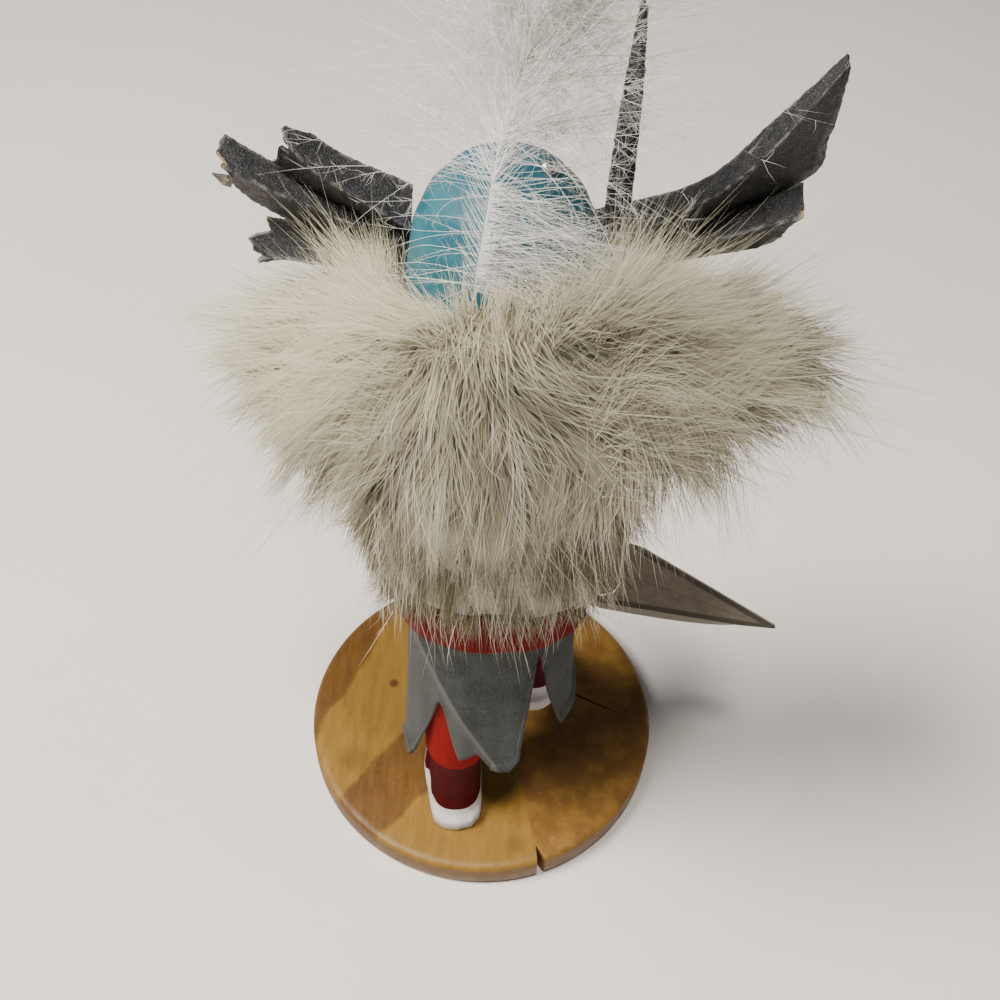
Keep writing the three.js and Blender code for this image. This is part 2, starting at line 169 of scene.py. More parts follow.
# %% [markdown]
# ## Camera, floor and light
# The doll is looked at from behind and from well above, so the camera is placed first: every
# piece is then judged in the same view. A rotation is built from three turns, about Z for the
# heading, about X for the pitch and about the lens axis for the small roll.

# %% Camera
def linked(name, data):
    made = bpy.data.objects.new(name, data)
    bpy.context.collection.objects.link(made)
    return made


HEADING, PITCH, ROLL = radians(-0.823), radians(43.59), radians(2.62)
camera_data = bpy.data.cameras.new("camera")
camera_data.lens = 37.44
camera_data.sensor_width = 36.0
camera_data.clip_start = 0.01
camera = linked("camera", camera_data)
camera.matrix_world = (
    Matrix.Translation(Vector((0.0, -128.555, 210.652)) * MM)
    @ Matrix.Rotation(HEADING, 4, "Z")
    @ Matrix.Rotation(PITCH, 4, "X")
    @ Matrix.Rotation(ROLL, 4, "Z")
)
bpy.context.scene.camera = camera
print("camera height", round(camera.matrix_world.translation.z, 3), "m")

# %% [markdown]
# The stronger lamp hangs high on the left and throws the soft shadow to the right. A weaker,
# smaller one hangs nearly overhead, and the world adds a dim cool glow.

# %% Lights
def area_light(name, place, aim, size, power, colour):
    data = bpy.data.lights.new(name, "AREA")
    data.shape = "DISK"
    data.size = size
    data.energy = power
    data.color = colour
    lamp = linked(name, data)
    lamp.location = place
    lamp.rotation_euler = (Vector(aim) - Vector(place)).to_track_quat("-Z", "Y").to_euler()
    return lamp


area_light("lamp_over", (-0.02, -0.25, 0.95), (0, 0, 0.06), 0.11, 5.0, (1.0, 0.94, 0.87))
area_light("lamp_left", (-0.53, -0.17, 0.92), (0, 0, 0.08), 0.42, 18.5, (1.0, 0.945, 0.88))

world = bpy.data.worlds.new("soft_room")
bpy.context.scene.world = world
world.use_nodes = True
world.node_tree.nodes["Background"].inputs["Color"].default_value = (0.86, 0.93, 1.0, 1)
world.node_tree.nodes["Background"].inputs["Strength"].default_value = 0.14
print("lights:", sum(o.type == "LIGHT" for o in bpy.data.objects))

# %% [markdown]
# ## Small helpers for materials
# A material is a graph of nodes. These helpers start one, add a node, and read the object's own
# coordinates in millimetres, so that every pattern below can be given its real size.

# %% Material helpers
def node(tree, kind, **values):
    made = tree.nodes.new(kind)
    for key, value in values.items():
        if hasattr(made, key):
            setattr(made, key, value)
        else:
            made.inputs[key.replace("_", " ").title()].default_value = value
    return made


def start_material(name, roughness=0.6, gloss=0.5):
    """A new material: itself, the object's place in mm, and its shader."""
    material = bpy.data.materials.new(name)
    material.use_nodes = True
    tree = material.node_tree
    shader = tree.nodes["Principled BSDF"]
    shader.inputs["Roughness"].default_value = roughness
    shader.inputs["Specular IOR Level"].default_value = gloss
    scaled = node(tree, "ShaderNodeVectorMath", operation="SCALE")
    scaled.inputs["Scale"].default_value = 1 / MM
    tree.links.new(node(tree, "ShaderNodeTexCoord").outputs["Object"], scaled.inputs[0])
    return material, scaled.outputs[0], shader


def join(value, socket):
    """A socket takes a link from another socket, or a plain number or colour as its value."""
    if isinstance(value, bpy.types.NodeSocket):
        value.id_data.links.new(value, socket)
    else:
        socket.default_value = (*value, 1.0) if isinstance(value, tuple) else value


def tree_of(*values):
    return next(value.id_data for value in values if isinstance(value, bpy.types.NodeSocket))


def maths(operation, *values):
    made = node(tree_of(*values), "ShaderNodeMath", operation=operation)
    for socket, value in zip(made.inputs, (*values, 0.0, 0.0)):
        join(value, socket)
    return made.outputs[0]


def times(*values):
    return maths("MULTIPLY", *values)


def ramp(source, low, high, smooth=True):
    made = node(source.id_data, "ShaderNodeMapRange")
    made.interpolation_type = "SMOOTHSTEP" if smooth else "LINEAR"
    made.inputs["From Min"].default_value = low
    made.inputs["From Max"].default_value = high
    join(source, made.inputs["Value"])
    return made.outputs["Result"]


def blend_colour(mask, first, second):
    made = node(mask.id_data, "ShaderNodeMix", data_type="RGBA")
    for index, value in ((0, mask), (6, first), (7, second)):
        join(value, made.inputs[index])
    return made.outputs[2]


def tinted(colour, mask, share, paint):
    """The colour with a share of a paint laid over it through a mask."""
    return blend_colour(times(mask, share), colour, paint)


def split(vector):
    made = node(vector.id_data, "ShaderNodeSeparateXYZ")
    join(vector, made.inputs[0])
    return made.outputs


def noise(place, scale, **values):
    made = node(place.id_data, "ShaderNodeTexNoise", **values)
    made.inputs["Scale"].default_value = scale
    join(place, made.inputs["Vector"])
    return made.outputs["Fac"]


def attribute(place, name):
    return node(place.id_data, "ShaderNodeAttribute", attribute_name=name).outputs["Fac"]


# %% [markdown]
# Mottling and fine grain are wanted in nearly every finish, so each is a node group with named
# inputs: `mottle` gives a soft-edged mask, and `fine_grain` gives a bumped normal.

# %% Shared node groups
def start_group(name, inputs, outputs):
    group = bpy.data.node_groups.new(name, "ShaderNodeTree")
    for title, kind, value in inputs:
        socket = group.interface.new_socket(title, in_out="INPUT", socket_type=kind)
        if value is not None:
            socket.default_value = value
    for title, kind in outputs:
        group.interface.new_socket(title, in_out="OUTPUT", socket_type=kind)
    return group, group.nodes.new("NodeGroupInput"), group.nodes.new("NodeGroupOutput")


mottle_group, inside, outside = start_group(
    "mottle",
    [("Vector", "NodeSocketVector", None), ("Scale", "NodeSocketFloat", 1.0),
     ("Low", "NodeSocketFloat", 0.4), ("High", "NodeSocketFloat", 0.6)],
    [("Mask", "NodeSocketFloat")],
)
cloud = node(mottle_group, "ShaderNodeTexNoise", detail=5.0, roughness=0.6)
edge = node(mottle_group, "ShaderNodeMapRange", interpolation_type="SMOOTHSTEP")
for giver, taker in (
        (inside.outputs["Vector"], cloud.inputs["Vector"]), (inside.outputs["Scale"], cloud.inputs["Scale"]),
        (cloud.outputs["Fac"], edge.inputs["Value"]), (inside.outputs["Low"], edge.inputs["From Min"]),
        (inside.outputs["High"], edge.inputs["From Max"]), (edge.outputs["Result"], outside.inputs["Mask"])):
    join(giver, taker)

grain_group, inside, outside = start_group(
    "fine_grain",
    [("Vector", "NodeSocketVector", None), ("Scale", "NodeSocketFloat", 4.0),
     ("Strength", "NodeSocketFloat", 0.3), ("Depth", "NodeSocketFloat", 0.0002)],
    [("Normal", "NodeSocketVector")],
)
cloud = node(grain_group, "ShaderNodeTexNoise", detail=4.0, roughness=0.65)
bump = node(grain_group, "ShaderNodeBump")
for giver, taker in (
        (inside.outputs["Vector"], cloud.inputs["Vector"]), (inside.outputs["Scale"], cloud.inputs["Scale"]),
        (cloud.outputs["Fac"], bump.inputs["Height"]), (inside.outputs["Strength"], bump.inputs["Strength"]),
        (inside.outputs["Depth"], bump.inputs["Distance"]), (bump.outputs["Normal"], outside.inputs["Normal"])):
    join(giver, taker)


def use_group(group, place, **values):
    made = node(place.id_data, "ShaderNodeGroup", node_tree=group)
    join(place, made.inputs["Vector"])
    for title, value in values.items():
        made.inputs[title].default_value = value
    return made.outputs[0]


def mottle(place, scale, low, high):
    return use_group(mottle_group, place, Scale=scale, Low=low, High=high)


def grain(shader, place, scale, strength, depth=0.0002):
    join(use_group(grain_group, place, Scale=scale, Strength=strength, Depth=depth), shader.inputs["Normal"])


print("groups:", [g.name for g in bpy.data.node_groups])

# %% [markdown]
# ## Small helpers for meshes
# A piece is made in a bmesh, turned into an object at the origin, and given its material. Where a
# carved solid has the right form but too few faces, a copy of it is merged, remeshed finely and
# smoothed, as sanding would do.

# %% Mesh helpers
def make_piece(name, bm, material, smooth=True, slot=None):
    mesh = bpy.data.meshes.new(name)
    bm.to_mesh(mesh)
    bm.free()
    piece = linked(name, mesh)
    mesh.materials.append(material)
    mesh.polygons.foreach_set("use_smooth", [smooth] * len(mesh.polygons))
    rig.ride(piece, "root")
    if slot:
        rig.slot(piece, slot)
    print(name, len(mesh.polygons), "faces")
    return piece


def merged_copy(node_name):
    bm = bmesh.new()
    bm.from_mesh(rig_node(node_name).data)
    bmesh.ops.remove_doubles(bm, verts=bm.verts, dist=1e-6)
    return bm


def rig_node(name):
    return next(o for o in bpy.data.objects if o.get("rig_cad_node") == name)


def sanded(node_name, voxel, rounds, shrink=None):
    """A finely remeshed, smoothed copy of a carved solid, drawn in by a depth for each point."""
    rough = bpy.data.meshes.new("rough")
    bm = merged_copy(node_name)
    bm.to_mesh(rough)
    bm.free()
    stand_in = linked("rough", rough)
    remesh = stand_in.modifiers.new("remesh", "REMESH")
    remesh.mode = "VOXEL"
    remesh.voxel_size = voxel
    smoothing = stand_in.modifiers.new("smooth", "SMOOTH")
    smoothing.iterations = rounds
    smoothing.factor = 0.5
    evaluated = stand_in.evaluated_get(bpy.context.evaluated_depsgraph_get())
    result = bmesh.new()
    result.from_mesh(evaluated.to_mesh())
    evaluated.to_mesh_clear()
    bpy.data.objects.remove(stand_in)
    bpy.data.meshes.remove(rough)
    if shrink:
        result.normal_update()
        for vert in result.verts:
            vert.co -= vert.normal * shrink(vert.co)
    return result


# %% [markdown]
# ## The slice of branch
# The stand is a slice sawn from a branch and brushed with amber varnish. It is turned from a
# profile with `spin`, its drying check and its tapering crack are cut with thin wedges, and the
# honey wood, two darker brown bands and a darker brown right side are painted by masks on its own
# coordinates.

# %% Slice: shape
BASE_RADIUS, BASE_HEIGHT, EDGE = 38.0 * MM, 7.0 * MM, 2.0 * MM
slice_mesh = bmesh.new()
profile = [(0.0, 0.0)]
profile += [(BASE_RADIUS - EDGE + EDGE * sin(a), EDGE - EDGE * cos(a)) for a in np.linspace(0, pi / 2, 7)]
profile += [(BASE_RADIUS - EDGE + EDGE * cos(a), BASE_HEIGHT - EDGE * 0.6 + EDGE * 0.6 * sin(a))
            for a in np.linspace(0.15, pi / 2, 7)]
profile += [(BASE_RADIUS * f, BASE_HEIGHT) for f in (0.8, 0.6, 0.4, 0.2)] + [(0.0, BASE_HEIGHT)]
corners = [slice_mesh.verts.new((r, 0, z)) for r, z in profile]
edges = [slice_mesh.edges.new(pair) for pair in zip(corners, corners[1:])]
bmesh.ops.spin(slice_mesh, geom=corners + edges, cent=(0, 0, 0), axis=(0, 0, 1), angle=2 * pi,
               steps=160, use_merge=True)
bmesh.ops.remove_doubles(slice_mesh, verts=slice_mesh.verts, dist=1e-6)
bmesh.ops.recalc_face_normals(slice_mesh, faces=slice_mesh.faces)


def wedge(start, end, half_width, low, high, tip_width=0.0):
    """A closed wedge from a wide start to a fine end, standing on the ground plane."""
    start, end = Vector((*start, 0)) * MM, Vector((*end, 0)) * MM
    side = Vector((-(end - start).y, (end - start).x, 0)).normalized() * MM
    bm = bmesh.new()
    ring = [bm.verts.new(p + Vector((0, 0, low * MM))) for p in (
        start - side * half_width, end - side * tip_width, end + side * tip_width,
        start + side * half_width)]
    floor_face = bm.faces.new(ring)
    grown = bmesh.ops.extrude_face_region(bm, geom=[floor_face])
    lifted = [v for v in grown["geom"] if isinstance(v, bmesh.types.BMVert)]
    bmesh.ops.translate(bm, verts=lifted, vec=(0, 0, (high - low) * MM))
    bmesh.ops.recalc_face_normals(bm, faces=bm.faces)
    return bm


def cut_with(piece, *cutters):
    for cutter in cutters:
        mesh = bpy.data.meshes.new("tool")
        cutter.to_mesh(mesh)
        cutter.free()
        tool = linked("tool", mesh)
        cut = piece.modifiers.new("cut", "BOOLEAN")
        cut.operation = "DIFFERENCE"
        cut.solver = "EXACT"
        cut.object = tool
        evaluated = piece.evaluated_get(bpy.context.evaluated_depsgraph_get())
        result = bpy.data.meshes.new_from_object(evaluated)
        piece.modifiers.clear()
        piece.data = result
        bpy.data.objects.remove(tool)


# %% [markdown]
# Two bands and the right side are painted darker. Each band is a straight strip with a slightly wavy
# edge, so its mask is the distance to a line, pushed about by a little noise. Wide faint rings
# follow the trunk, and the glossy coat is the shader's own, but the light flecks on the dark side
# are a painted highlight.

# %% Slice: finish
def line_distance(x, y, start, end):
    """Signed distance in mm from the line through two points, positive on its left."""
    run = Vector((end[0] - start[0], end[1] - start[1])).normalized()
    across = maths("MULTIPLY_ADD", x, -run.y, run.y * start[0])
    return maths("ADD", across, maths("MULTIPLY_ADD", y, run.x, -run.x * start[1]))


wood, place, shader = start_material("varnished_branch", 0.45, gloss=0.35)
wave = maths("MULTIPLY_ADD", noise(place, 0.12, detail=3.0), 5.0, -2.5)
x, y, z = split(place)
# two darker brown bands on the left and a darker brown right side, each drawn as a mask
band_one = ramp(maths("ADD", line_distance(x, y, (-35.7, -7.9), (-23.7, 22.0)), wave), -0.4, 1.2)
lower = ramp(maths("ADD", line_distance(x, y, (-29.2, -23.0), (-16.0, -5.1)), wave), 0.6, -0.8)
upper = ramp(maths("ADD", line_distance(x, y, (-20.8, -31.2), (-9.9, -20.5)), wave), -0.6, 0.8)
band_two = times(lower, upper)
dark_right_side = ramp(maths("ADD", line_distance(x, y, (12.9, -36.0), (7.0, -12.0)), wave), 0.5, -0.9)
stretch = node(tree_of(place), "ShaderNodeMapping", vector_type="POINT")
stretch.inputs["Rotation"].default_value = (0, 0, radians(35))
stretch.inputs["Scale"].default_value = (0.5, 0.09, 0.3)
join(place, stretch.inputs["Vector"])
streaks = noise(stretch.outputs[0], 1.0, detail=6.0, roughness=0.7)
honey = blend_colour(ramp(streaks, 0.3, 0.7), (0.28, 0.155, 0.023), (0.21, 0.110, 0.015))
brown = blend_colour(ramp(streaks, 0.35, 0.7), (0.155, 0.070, 0.009), (0.10, 0.043, 0.005))
right_side_brown = blend_colour(mottle(place, 0.16, 0.42, 0.62), (0.175, 0.082, 0.013), (0.26, 0.13, 0.022))
colour = blend_colour(band_one, honey, brown)
colour = blend_colour(band_two, colour, brown)
colour = blend_colour(dark_right_side, colour, right_side_brown)


def spot(x, y, centre, radius, soft):
    dx = maths("SUBTRACT", x, centre[0])
    dy = maths("SUBTRACT", y, centre[1])
    far = maths("SQRT", maths("ADD", times(dx, dx), times(dy, dy)))
    return ramp(far, radius + soft, radius)


for centre, radius, soft, depth in (((-20.6, 5.8), 0.5, 1.1, 0.9), ((-27.3, -14.2), 1.2, 3.4, 0.35),
                                    ((7.7, -32.4), 0.6, 2.2, 0.35)):
    knot = times(spot(x, y, centre, radius, soft), depth)
    colour = blend_colour(knot, colour, (0.07, 0.028, 0.006))
rim = ramp(z, BASE_HEIGHT / MM - 0.25, BASE_HEIGHT / MM - 1.6)
colour = tinted(colour, rim, 0.72, (0.085, 0.038, 0.01))
underside = ramp(z, 0.4, 0.1)
colour = blend_colour(underside, colour, (0.42, 0.31, 0.19))
# painted highlight: light flecks on the dark right side stand for glints on the varnish
painted_gloss_flecks = times(mottle(place, 0.42, 0.60, 0.68), dark_right_side)
painted_gloss_spot = spot(x, y, (18.5, -23.5), 3.0, 9.0)
colour = blend_colour(times(times(painted_gloss_flecks, painted_gloss_spot), 0.55), colour,
                      (0.42, 0.22, 0.06))
join(colour, shader.inputs["Base Color"])
rough = maths("MULTIPLY_ADD", mottle(place, 0.3, 0.3, 0.7), 0.14, 0.44)
join(rough, shader.inputs["Roughness"])
shader.inputs["Coat Weight"].default_value = 0.06
shader.inputs["Coat Roughness"].default_value = 0.3
grain(shader, place, 0.7, 0.35, 0.0003)

slice_piece = make_piece("base_slice", slice_mesh, wood, slot="base_wood")
cut_with(
    slice_piece,
    wedge((14.6, -39.5), (12.0, -32.4), 1.9, -1.0, 9.0, 0.05),
    wedge((17.8, 6.0), (31.3, -0.4), 0.4, 5.2, 9.0, 0.06),
)
slice_piece.data.polygons.foreach_set("use_smooth", [True] * len(slice_piece.data.polygons))
slice_piece.data.set_sharp_from_angle(angle=radians(40))
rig.replaces(slice_piece, "base")
print("slice:", len(slice_piece.data.polygons), "faces")

# %% Floor
floor_mesh = bmesh.new()
bmesh.ops.create_grid(floor_mesh, x_segments=2, y_segments=2, size=3.0)
white_table, place, shader = start_material("pale_table", 0.55)
patches = mottle(place, 0.008, 0.35, 0.65)
join(blend_colour(patches, (0.86, 0.80, 0.745), (0.89, 0.83, 0.775)), shader.inputs["Base Color"])
grain(shader, place, 0.05, 0.1, 0.002)
mesh = bpy.data.meshes.new("floor")
floor_mesh.to_mesh(mesh)
floor_mesh.free()
floor = linked("floor", mesh)
mesh.materials.append(white_table)
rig.stage(floor)

# %% [markdown]
# ## The carved dancer
# The body is one carving in soft wood, painted flat red on the legs and arms, maroon on the
# moccasins and white on the soles. The carved solid already has the pose, so its sanded copy is
# used, and the colours are zones measured up from each sole.

# %% Dancer: finish
FLOOR_TOP = 7.0
RAISED_SOLE = 13.0
figure_paint, place, shader = start_material("body_paint", 0.6, gloss=0.08)
x, y, z = split(place)
right_side = ramp(x, 2.2, 2.4, smooth=False)
tilt = times(maths("MULTIPLY_ADD", y, 0.0875, 9 * 0.0875), right_side)
lift = maths("MULTIPLY_ADD", right_side, RAISED_SOLE, FLOOR_TOP)
height = maths("ADD", maths("SUBTRACT", z, lift), tilt)
heel_y = maths("MULTIPLY_ADD", right_side, 21.0, -30.0)
from_heel = maths("SUBTRACT", y, heel_y)
brush_edge = maths("MULTIPLY_ADD", noise(place, 0.5, detail=2.0), 0.5, -0.25)
height = maths("ADD", height, brush_edge)
sole_line = maths("MULTIPLY_ADD", ramp(from_heel, 13.0, 10.5), 2.3, 3.3)
above_sole = ramp(maths("SUBTRACT", height, sole_line), -0.1, 0.15)
above_boot = ramp(height, 20.2, 20.6)
leg_red = blend_colour(mottle(place, 0.5, 0.35, 0.7), (0.24, 0.001, 0.001), (0.18, 0.001, 0.001))
maroon = blend_colour(mottle(place, 0.6, 0.35, 0.7), (0.060, 0.0015, 0.003), (0.042, 0.001, 0.002))
white = blend_colour(mottle(place, 0.7, 0.5, 0.75), (0.62, 0.60, 0.58), (0.50, 0.48, 0.46))
colour = blend_colour(above_sole, white, maroon)
colour = blend_colour(above_boot, colour, leg_red)
worn = mottle(place, 1.6, 0.66, 0.72)
colour = tinted(colour, worn, 0.10, (0.35, 0.22, 0.14))
join(colour, shader.inputs["Base Color"])
grain(shader, place, 1.2, 0.4, 0.0002)

# %% Dancer: shape
dancer = make_piece("carved_dancer", sanded("figure", 0.66 * MM, 4), figure_paint, slot="body_paint")
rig.replaces(dancer, "figure")

# %% [markdown]
# A band round the body is a short turned ring, spun from its profile and squashed to the
# body's depth. The felt sash is made this way.

# %% Rings
def ring_from_profile(profile, centre, steps=48, squash=1.0):
    """A closed ring spun about +Z from (radius, height) pairs in mm, then set at a centre."""
    bm = bmesh.new()
    ring = [bm.verts.new((r * MM, 0, h * MM)) for r, h in profile]
    loop = [bm.edges.new(pair) for pair in zip(ring, ring[1:] + ring[:1])]
    bmesh.ops.spin(bm, geom=ring + loop, cent=(0, 0, 0), axis=(0, 0, 1), angle=2 * pi, steps=steps,
                   use_merge=True)
    bmesh.ops.remove_doubles(bm, verts=bm.verts, dist=1e-6)
    bmesh.ops.scale(bm, verts=bm.verts, vec=(1, squash, 1))
    bmesh.ops.translate(bm, verts=bm.verts, vec=Vector(centre) * MM)
    bmesh.ops.recalc_face_normals(bm, faces=bm.faces)
    return bm


# %% [markdown]
# ## The case mask
# The head is a turned dome painted chalky turquoise, with dark eye slots and a small wedge mouth.
# The paint is thin, so paler and bluer patches show.

# %% Mask: finish and shape
EYES_Z, MOUTH_Z, FACE_Y = 137.0, 128.6, -8.2
mask_paint, place, shader = start_material("turquoise_paint", 0.5, gloss=0.35)
x, y, z = split(place)
chalk = mottle(place, 0.16, 0.36, 0.66)
colour = blend_colour(chalk, (0.014, 0.115, 0.165), (0.040, 0.165, 0.205))
specks = mottle(place, 1.1, 0.60, 0.72)
colour = tinted(colour, specks, 0.45, (0.18, 0.38, 0.42))
in_front = ramp(y, FACE_Y - 1.0, FACE_Y - 0.6)


def box_mask(x, z, centre, half):
    wide = ramp(maths("ABSOLUTE", maths("SUBTRACT", x, centre[0])), half[0] + 0.15, half[0] - 0.15)
    tall = ramp(maths("ABSOLUTE", maths("SUBTRACT", z, centre[1])), half[1] + 0.15, half[1] - 0.15)
    return times(wide, tall)


slots = maths("MAXIMUM", box_mask(x, z, (0.8 - 4.4, EYES_Z), (2.1, 0.85)),
              box_mask(x, z, (0.8 + 4.4, EYES_Z), (2.1, 0.85)))
slots = maths("MAXIMUM", slots, box_mask(x, z, (0.8, MOUTH_Z), (2.4, 1.9)))
colour = blend_colour(times(slots, in_front), colour, (0.008, 0.008, 0.009))
join(colour, shader.inputs["Base Color"])
grain(shader, place, 1.5, 0.35, 0.0002)
mask = make_piece("case_mask", sanded("head", 0.5 * MM, 3), mask_paint, slot="mask_paint")
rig.replaces(mask, "head")

# %% [markdown]
# ## The suede kilt
# The kilt is thin grey suede, cut into hanging points and wrapped round the waist. A sheet like
# this is quickest as a grid whose lowest row follows the cut line: each column is stretched from
# the waist down to the hem, then the grid is wrapped round the body and given its thickness.

# %% Kilt: the cut line
KILT_TOP, KILT_MIDDLE = 73.0, (1.0, -18.4)
REAR_HEM = [(-14.0, 33.0), (-13.6, 28.3), (-12.9, 28.2), (-7.7, 52.3), (-3.9, 36.2), (-0.6, 38.8),
            (1.9, 34.2), (5.4, 33.8), (6.7, 37.0), (7.0, 44.0), (8.9, 69.0), (12.0, 54.0), (15.2, 39.0)]
FRONT_HEM = [(15.9, 52.0), (12.0, 61.0), (4.0, 60.0), (1.2, 42.0), (0.0, 31.0), (-7.0, 29.5), (-13.0, 30.5)]


def kilt_radius(z):
    return 15.8 - 1.4 * (z - 28.0) / 45.0


def turn_at(x, z, front):
    """Angle round the waist of a cut-line point: 0 at the back, pi at the front."""
    lean = max(-1.0, min(1.0, (x - KILT_MIDDLE[0]) / kilt_radius(z)))
    side = atan2(lean, (1 - lean * lean) ** 0.5)
    return (pi - side) if front else side


cut = [(turn_at(x, z, False), z) for x, z in REAR_HEM] + [(turn_at(x, z, True), z) for x, z in FRONT_HEM]
cut_turns = np.array([c[0] for c in cut])
cut_heights = np.array([c[1] for c in cut])
full_turns = np.concatenate([cut_turns, [cut_turns[0] + 2 * pi]])
full_heights = np.concatenate([cut_heights, [cut_heights[0]]])
print("cut line:", len(cut), "corners, from", cut_heights.min(), "to", cut_heights.max(), "mm")

# %% Kilt: shape
COLUMNS, ROWS = 300, 32
LAP_X, LAP_Z, LAP_SLOPE = -11.6, 68.0, 2.3
sheet = bmesh.new()
bmesh.ops.create_grid(sheet, x_segments=COLUMNS, y_segments=ROWS, size=0.5)
even = full_turns[0] + np.linspace(0, 2 * pi, COLUMNS + 1)
turns = even.copy()
for corner in full_turns:
    turns[np.argmin(abs(even - corner))] = corner
hem = np.interp(turns, full_turns, full_heights)


def kilt_point(turn, z, out=0.0):
    low = (KILT_TOP - z) / 45.0
    swing = 1 + 0.05 * low * sin(turn * 7 - 2.2) + 0.012 * low * sin(turn * 19 + 1.0)
    radius = kilt_radius(z) * swing + out
    return Vector((KILT_MIDDLE[0] + radius * sin(turn),
                   KILT_MIDDLE[1] - radius * (0.7 + 0.06 * low) * cos(turn), z)) * MM


for vert in sheet.verts:
    column = round((vert.co.x + 0.5) * COLUMNS)
    row = round((0.5 - vert.co.y) * ROWS)
    turn, bottom = turns[column], hem[column]
    z = KILT_TOP + (bottom - KILT_TOP) * row / ROWS
    x = kilt_point(turn, z).x / MM
    # the rear layer laps over the left one along a slanting edge
    lap = (x - LAP_X) * LAP_SLOPE + (z - LAP_Z)
    over = 0.8 / (1 + np.exp(-lap * 1.2)) if -1.7 < turn < 0.55 else 0.0
    ridge = 0.6 * np.exp(-(lap * 0.36) ** 2) if -1.3 < turn < 0.4 else 0.0
    curl = max(0.0, 1 - (z - bottom) / 3.0) ** 2 * 1.3 * (0.5 + 0.5 * sin(turn * 5 + 0.4))
    vert.co = kilt_point(turn, z, -0.9 + over + ridge + curl)
bmesh.ops.remove_doubles(sheet, verts=sheet.verts, dist=2e-6)
bmesh.ops.recalc_face_normals(sheet, faces=sheet.faces)
outward = sum((f.normal.dot(f.calc_center_median() - Vector((1, -18.4, 50)) * MM) > 0) for f in sheet.faces)
if outward < len(sheet.faces) / 2:
    bmesh.ops.reverse_faces(sheet, faces=sheet.faces)

suede, place, shader = start_material("grey_suede", 0.9, gloss=0.1)
nap = mottle(place, 0.22, 0.35, 0.68)
colour = blend_colour(nap, (0.047, 0.054, 0.051), (0.028, 0.032, 0.031))
x, y, z = split(place)
lap = maths("ADD", maths("MULTIPLY_ADD", x, LAP_SLOPE, -LAP_SLOPE * LAP_X), maths("SUBTRACT", z, LAP_Z))
behind = ramp(y, -20.0, -22.0)
# painted light: the rear layer left of the lap edge is painted lighter, where light falls from the left
painted_lit_left_layer = times(ramp(lap, 0.5, -0.8), behind)
colour = tinted(colour, painted_lit_left_layer, 0.4, (0.095, 0.101, 0.093))
# painted highlight: a pale line along the lapped edge
lap_edge_highlight = times(ramp(maths("ABSOLUTE", lap), 1.5, 0.5), behind)
colour = tinted(colour, lap_edge_highlight, 0.5, (0.17, 0.175, 0.155))
fibres = mottle(place, 3.2, 0.42, 0.62)
colour = tinted(colour, fibres, 0.35, (0.115, 0.12, 0.11))
join(colour, shader.inputs["Base Color"])
shader.inputs["Sheen Weight"].default_value = 0.05
shader.inputs["Sheen Roughness"].default_value = 0.5
grain(shader, place, 3.0, 0.5, 0.0002)
kilt = make_piece("suede_kilt", sheet, suede, slot="suede")
thickness = kilt.modifiers.new("thickness", "SOLIDIFY")
thickness.thickness = 0.75 * MM
thickness.offset = 1.0
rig.replaces(kilt, "kilt")
area = sum(p.area for p in kilt.data.polygons)
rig.sheet(kilt, flat=(0.088, 0.045), held="hung", rests_on=["figure"], area=area)
print("kilt: flat area", round(area * 1e4, 1), "cm2")

# %% [markdown]
# ## The felt sash
# A strip of bright red felt goes round the waist over the kilt's top edge. It is a thin ring with
# softly rounded edges and a fuzzy surface, pressed a little unevenly.

# %% Sash
felt, place, shader = start_material("red_felt", 0.95, gloss=0.1)
fluff = mottle(place, 2.4, 0.38, 0.64)
colour = blend_colour(fluff, (0.15, 0.0008, 0.0015), (0.10, 0.0008, 0.001))
join(colour, shader.inputs["Base Color"])
shader.inputs["Sheen Weight"].default_value = 0.04
grain(shader, place, 2.6, 0.7, 0.0004)
SASH_PROFILE = [(15.0, 70.0), (15.9, 69.9), (16.2, 70.4), (16.1, 73.0), (15.8, 76.0), (15.4, 78.6),
                (15.0, 79.0), (14.4, 78.9), (14.4, 76.0), (14.7, 73.0)]
band = ring_from_profile(SASH_PROFILE, (1.0, -18.4, 0), steps=120, squash=0.7)
for vert in band.verts:
    turn = atan2(vert.co.x - 0.001, -(vert.co.y + 0.0184))
    vert.co.z += (0.35 * sin(turn * 3 + 1) + 0.2 * sin(turn * 8)) * MM
sash = make_piece("felt_sash", band, felt, slot="felt")
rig.replaces(sash, "waist_sash")
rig.sheet(sash, flat=(0.085, 0.0102), held="stretched", rests_on=[kilt.name])

# %% [markdown]
# ## Black pleated wings
# Each wing is a stiff sheet folded in pleats, black on both sides, pale along its edges and
# folds, partly chipped paint and partly painted highlight, and torn at its ends, where the tan core
# shows. Every strip starts as a grid whose rows follow the folds, and the far edge is pushed in and
# out by a seeded tear.

# %% Wings: finish
wing_paint, place, shader = start_material("worn_black_paint", 0.42)
chips_and_highlights = attribute(place, "chip_and_highlight")
core = attribute(place, "torn")
dust = mottle(place, 0.9, 0.42, 0.70)
base = blend_colour(mottle(place, 0.25, 0.3, 0.7), (0.007, 0.0073, 0.008), (0.016, 0.016, 0.017))
colour = blend_colour(times(dust, 0.6), base, (0.042, 0.042, 0.043))
crust = mottle(place, 4.2, 0.56, 0.64)
colour = tinted(colour, crust, 0.5, (0.18, 0.18, 0.18))
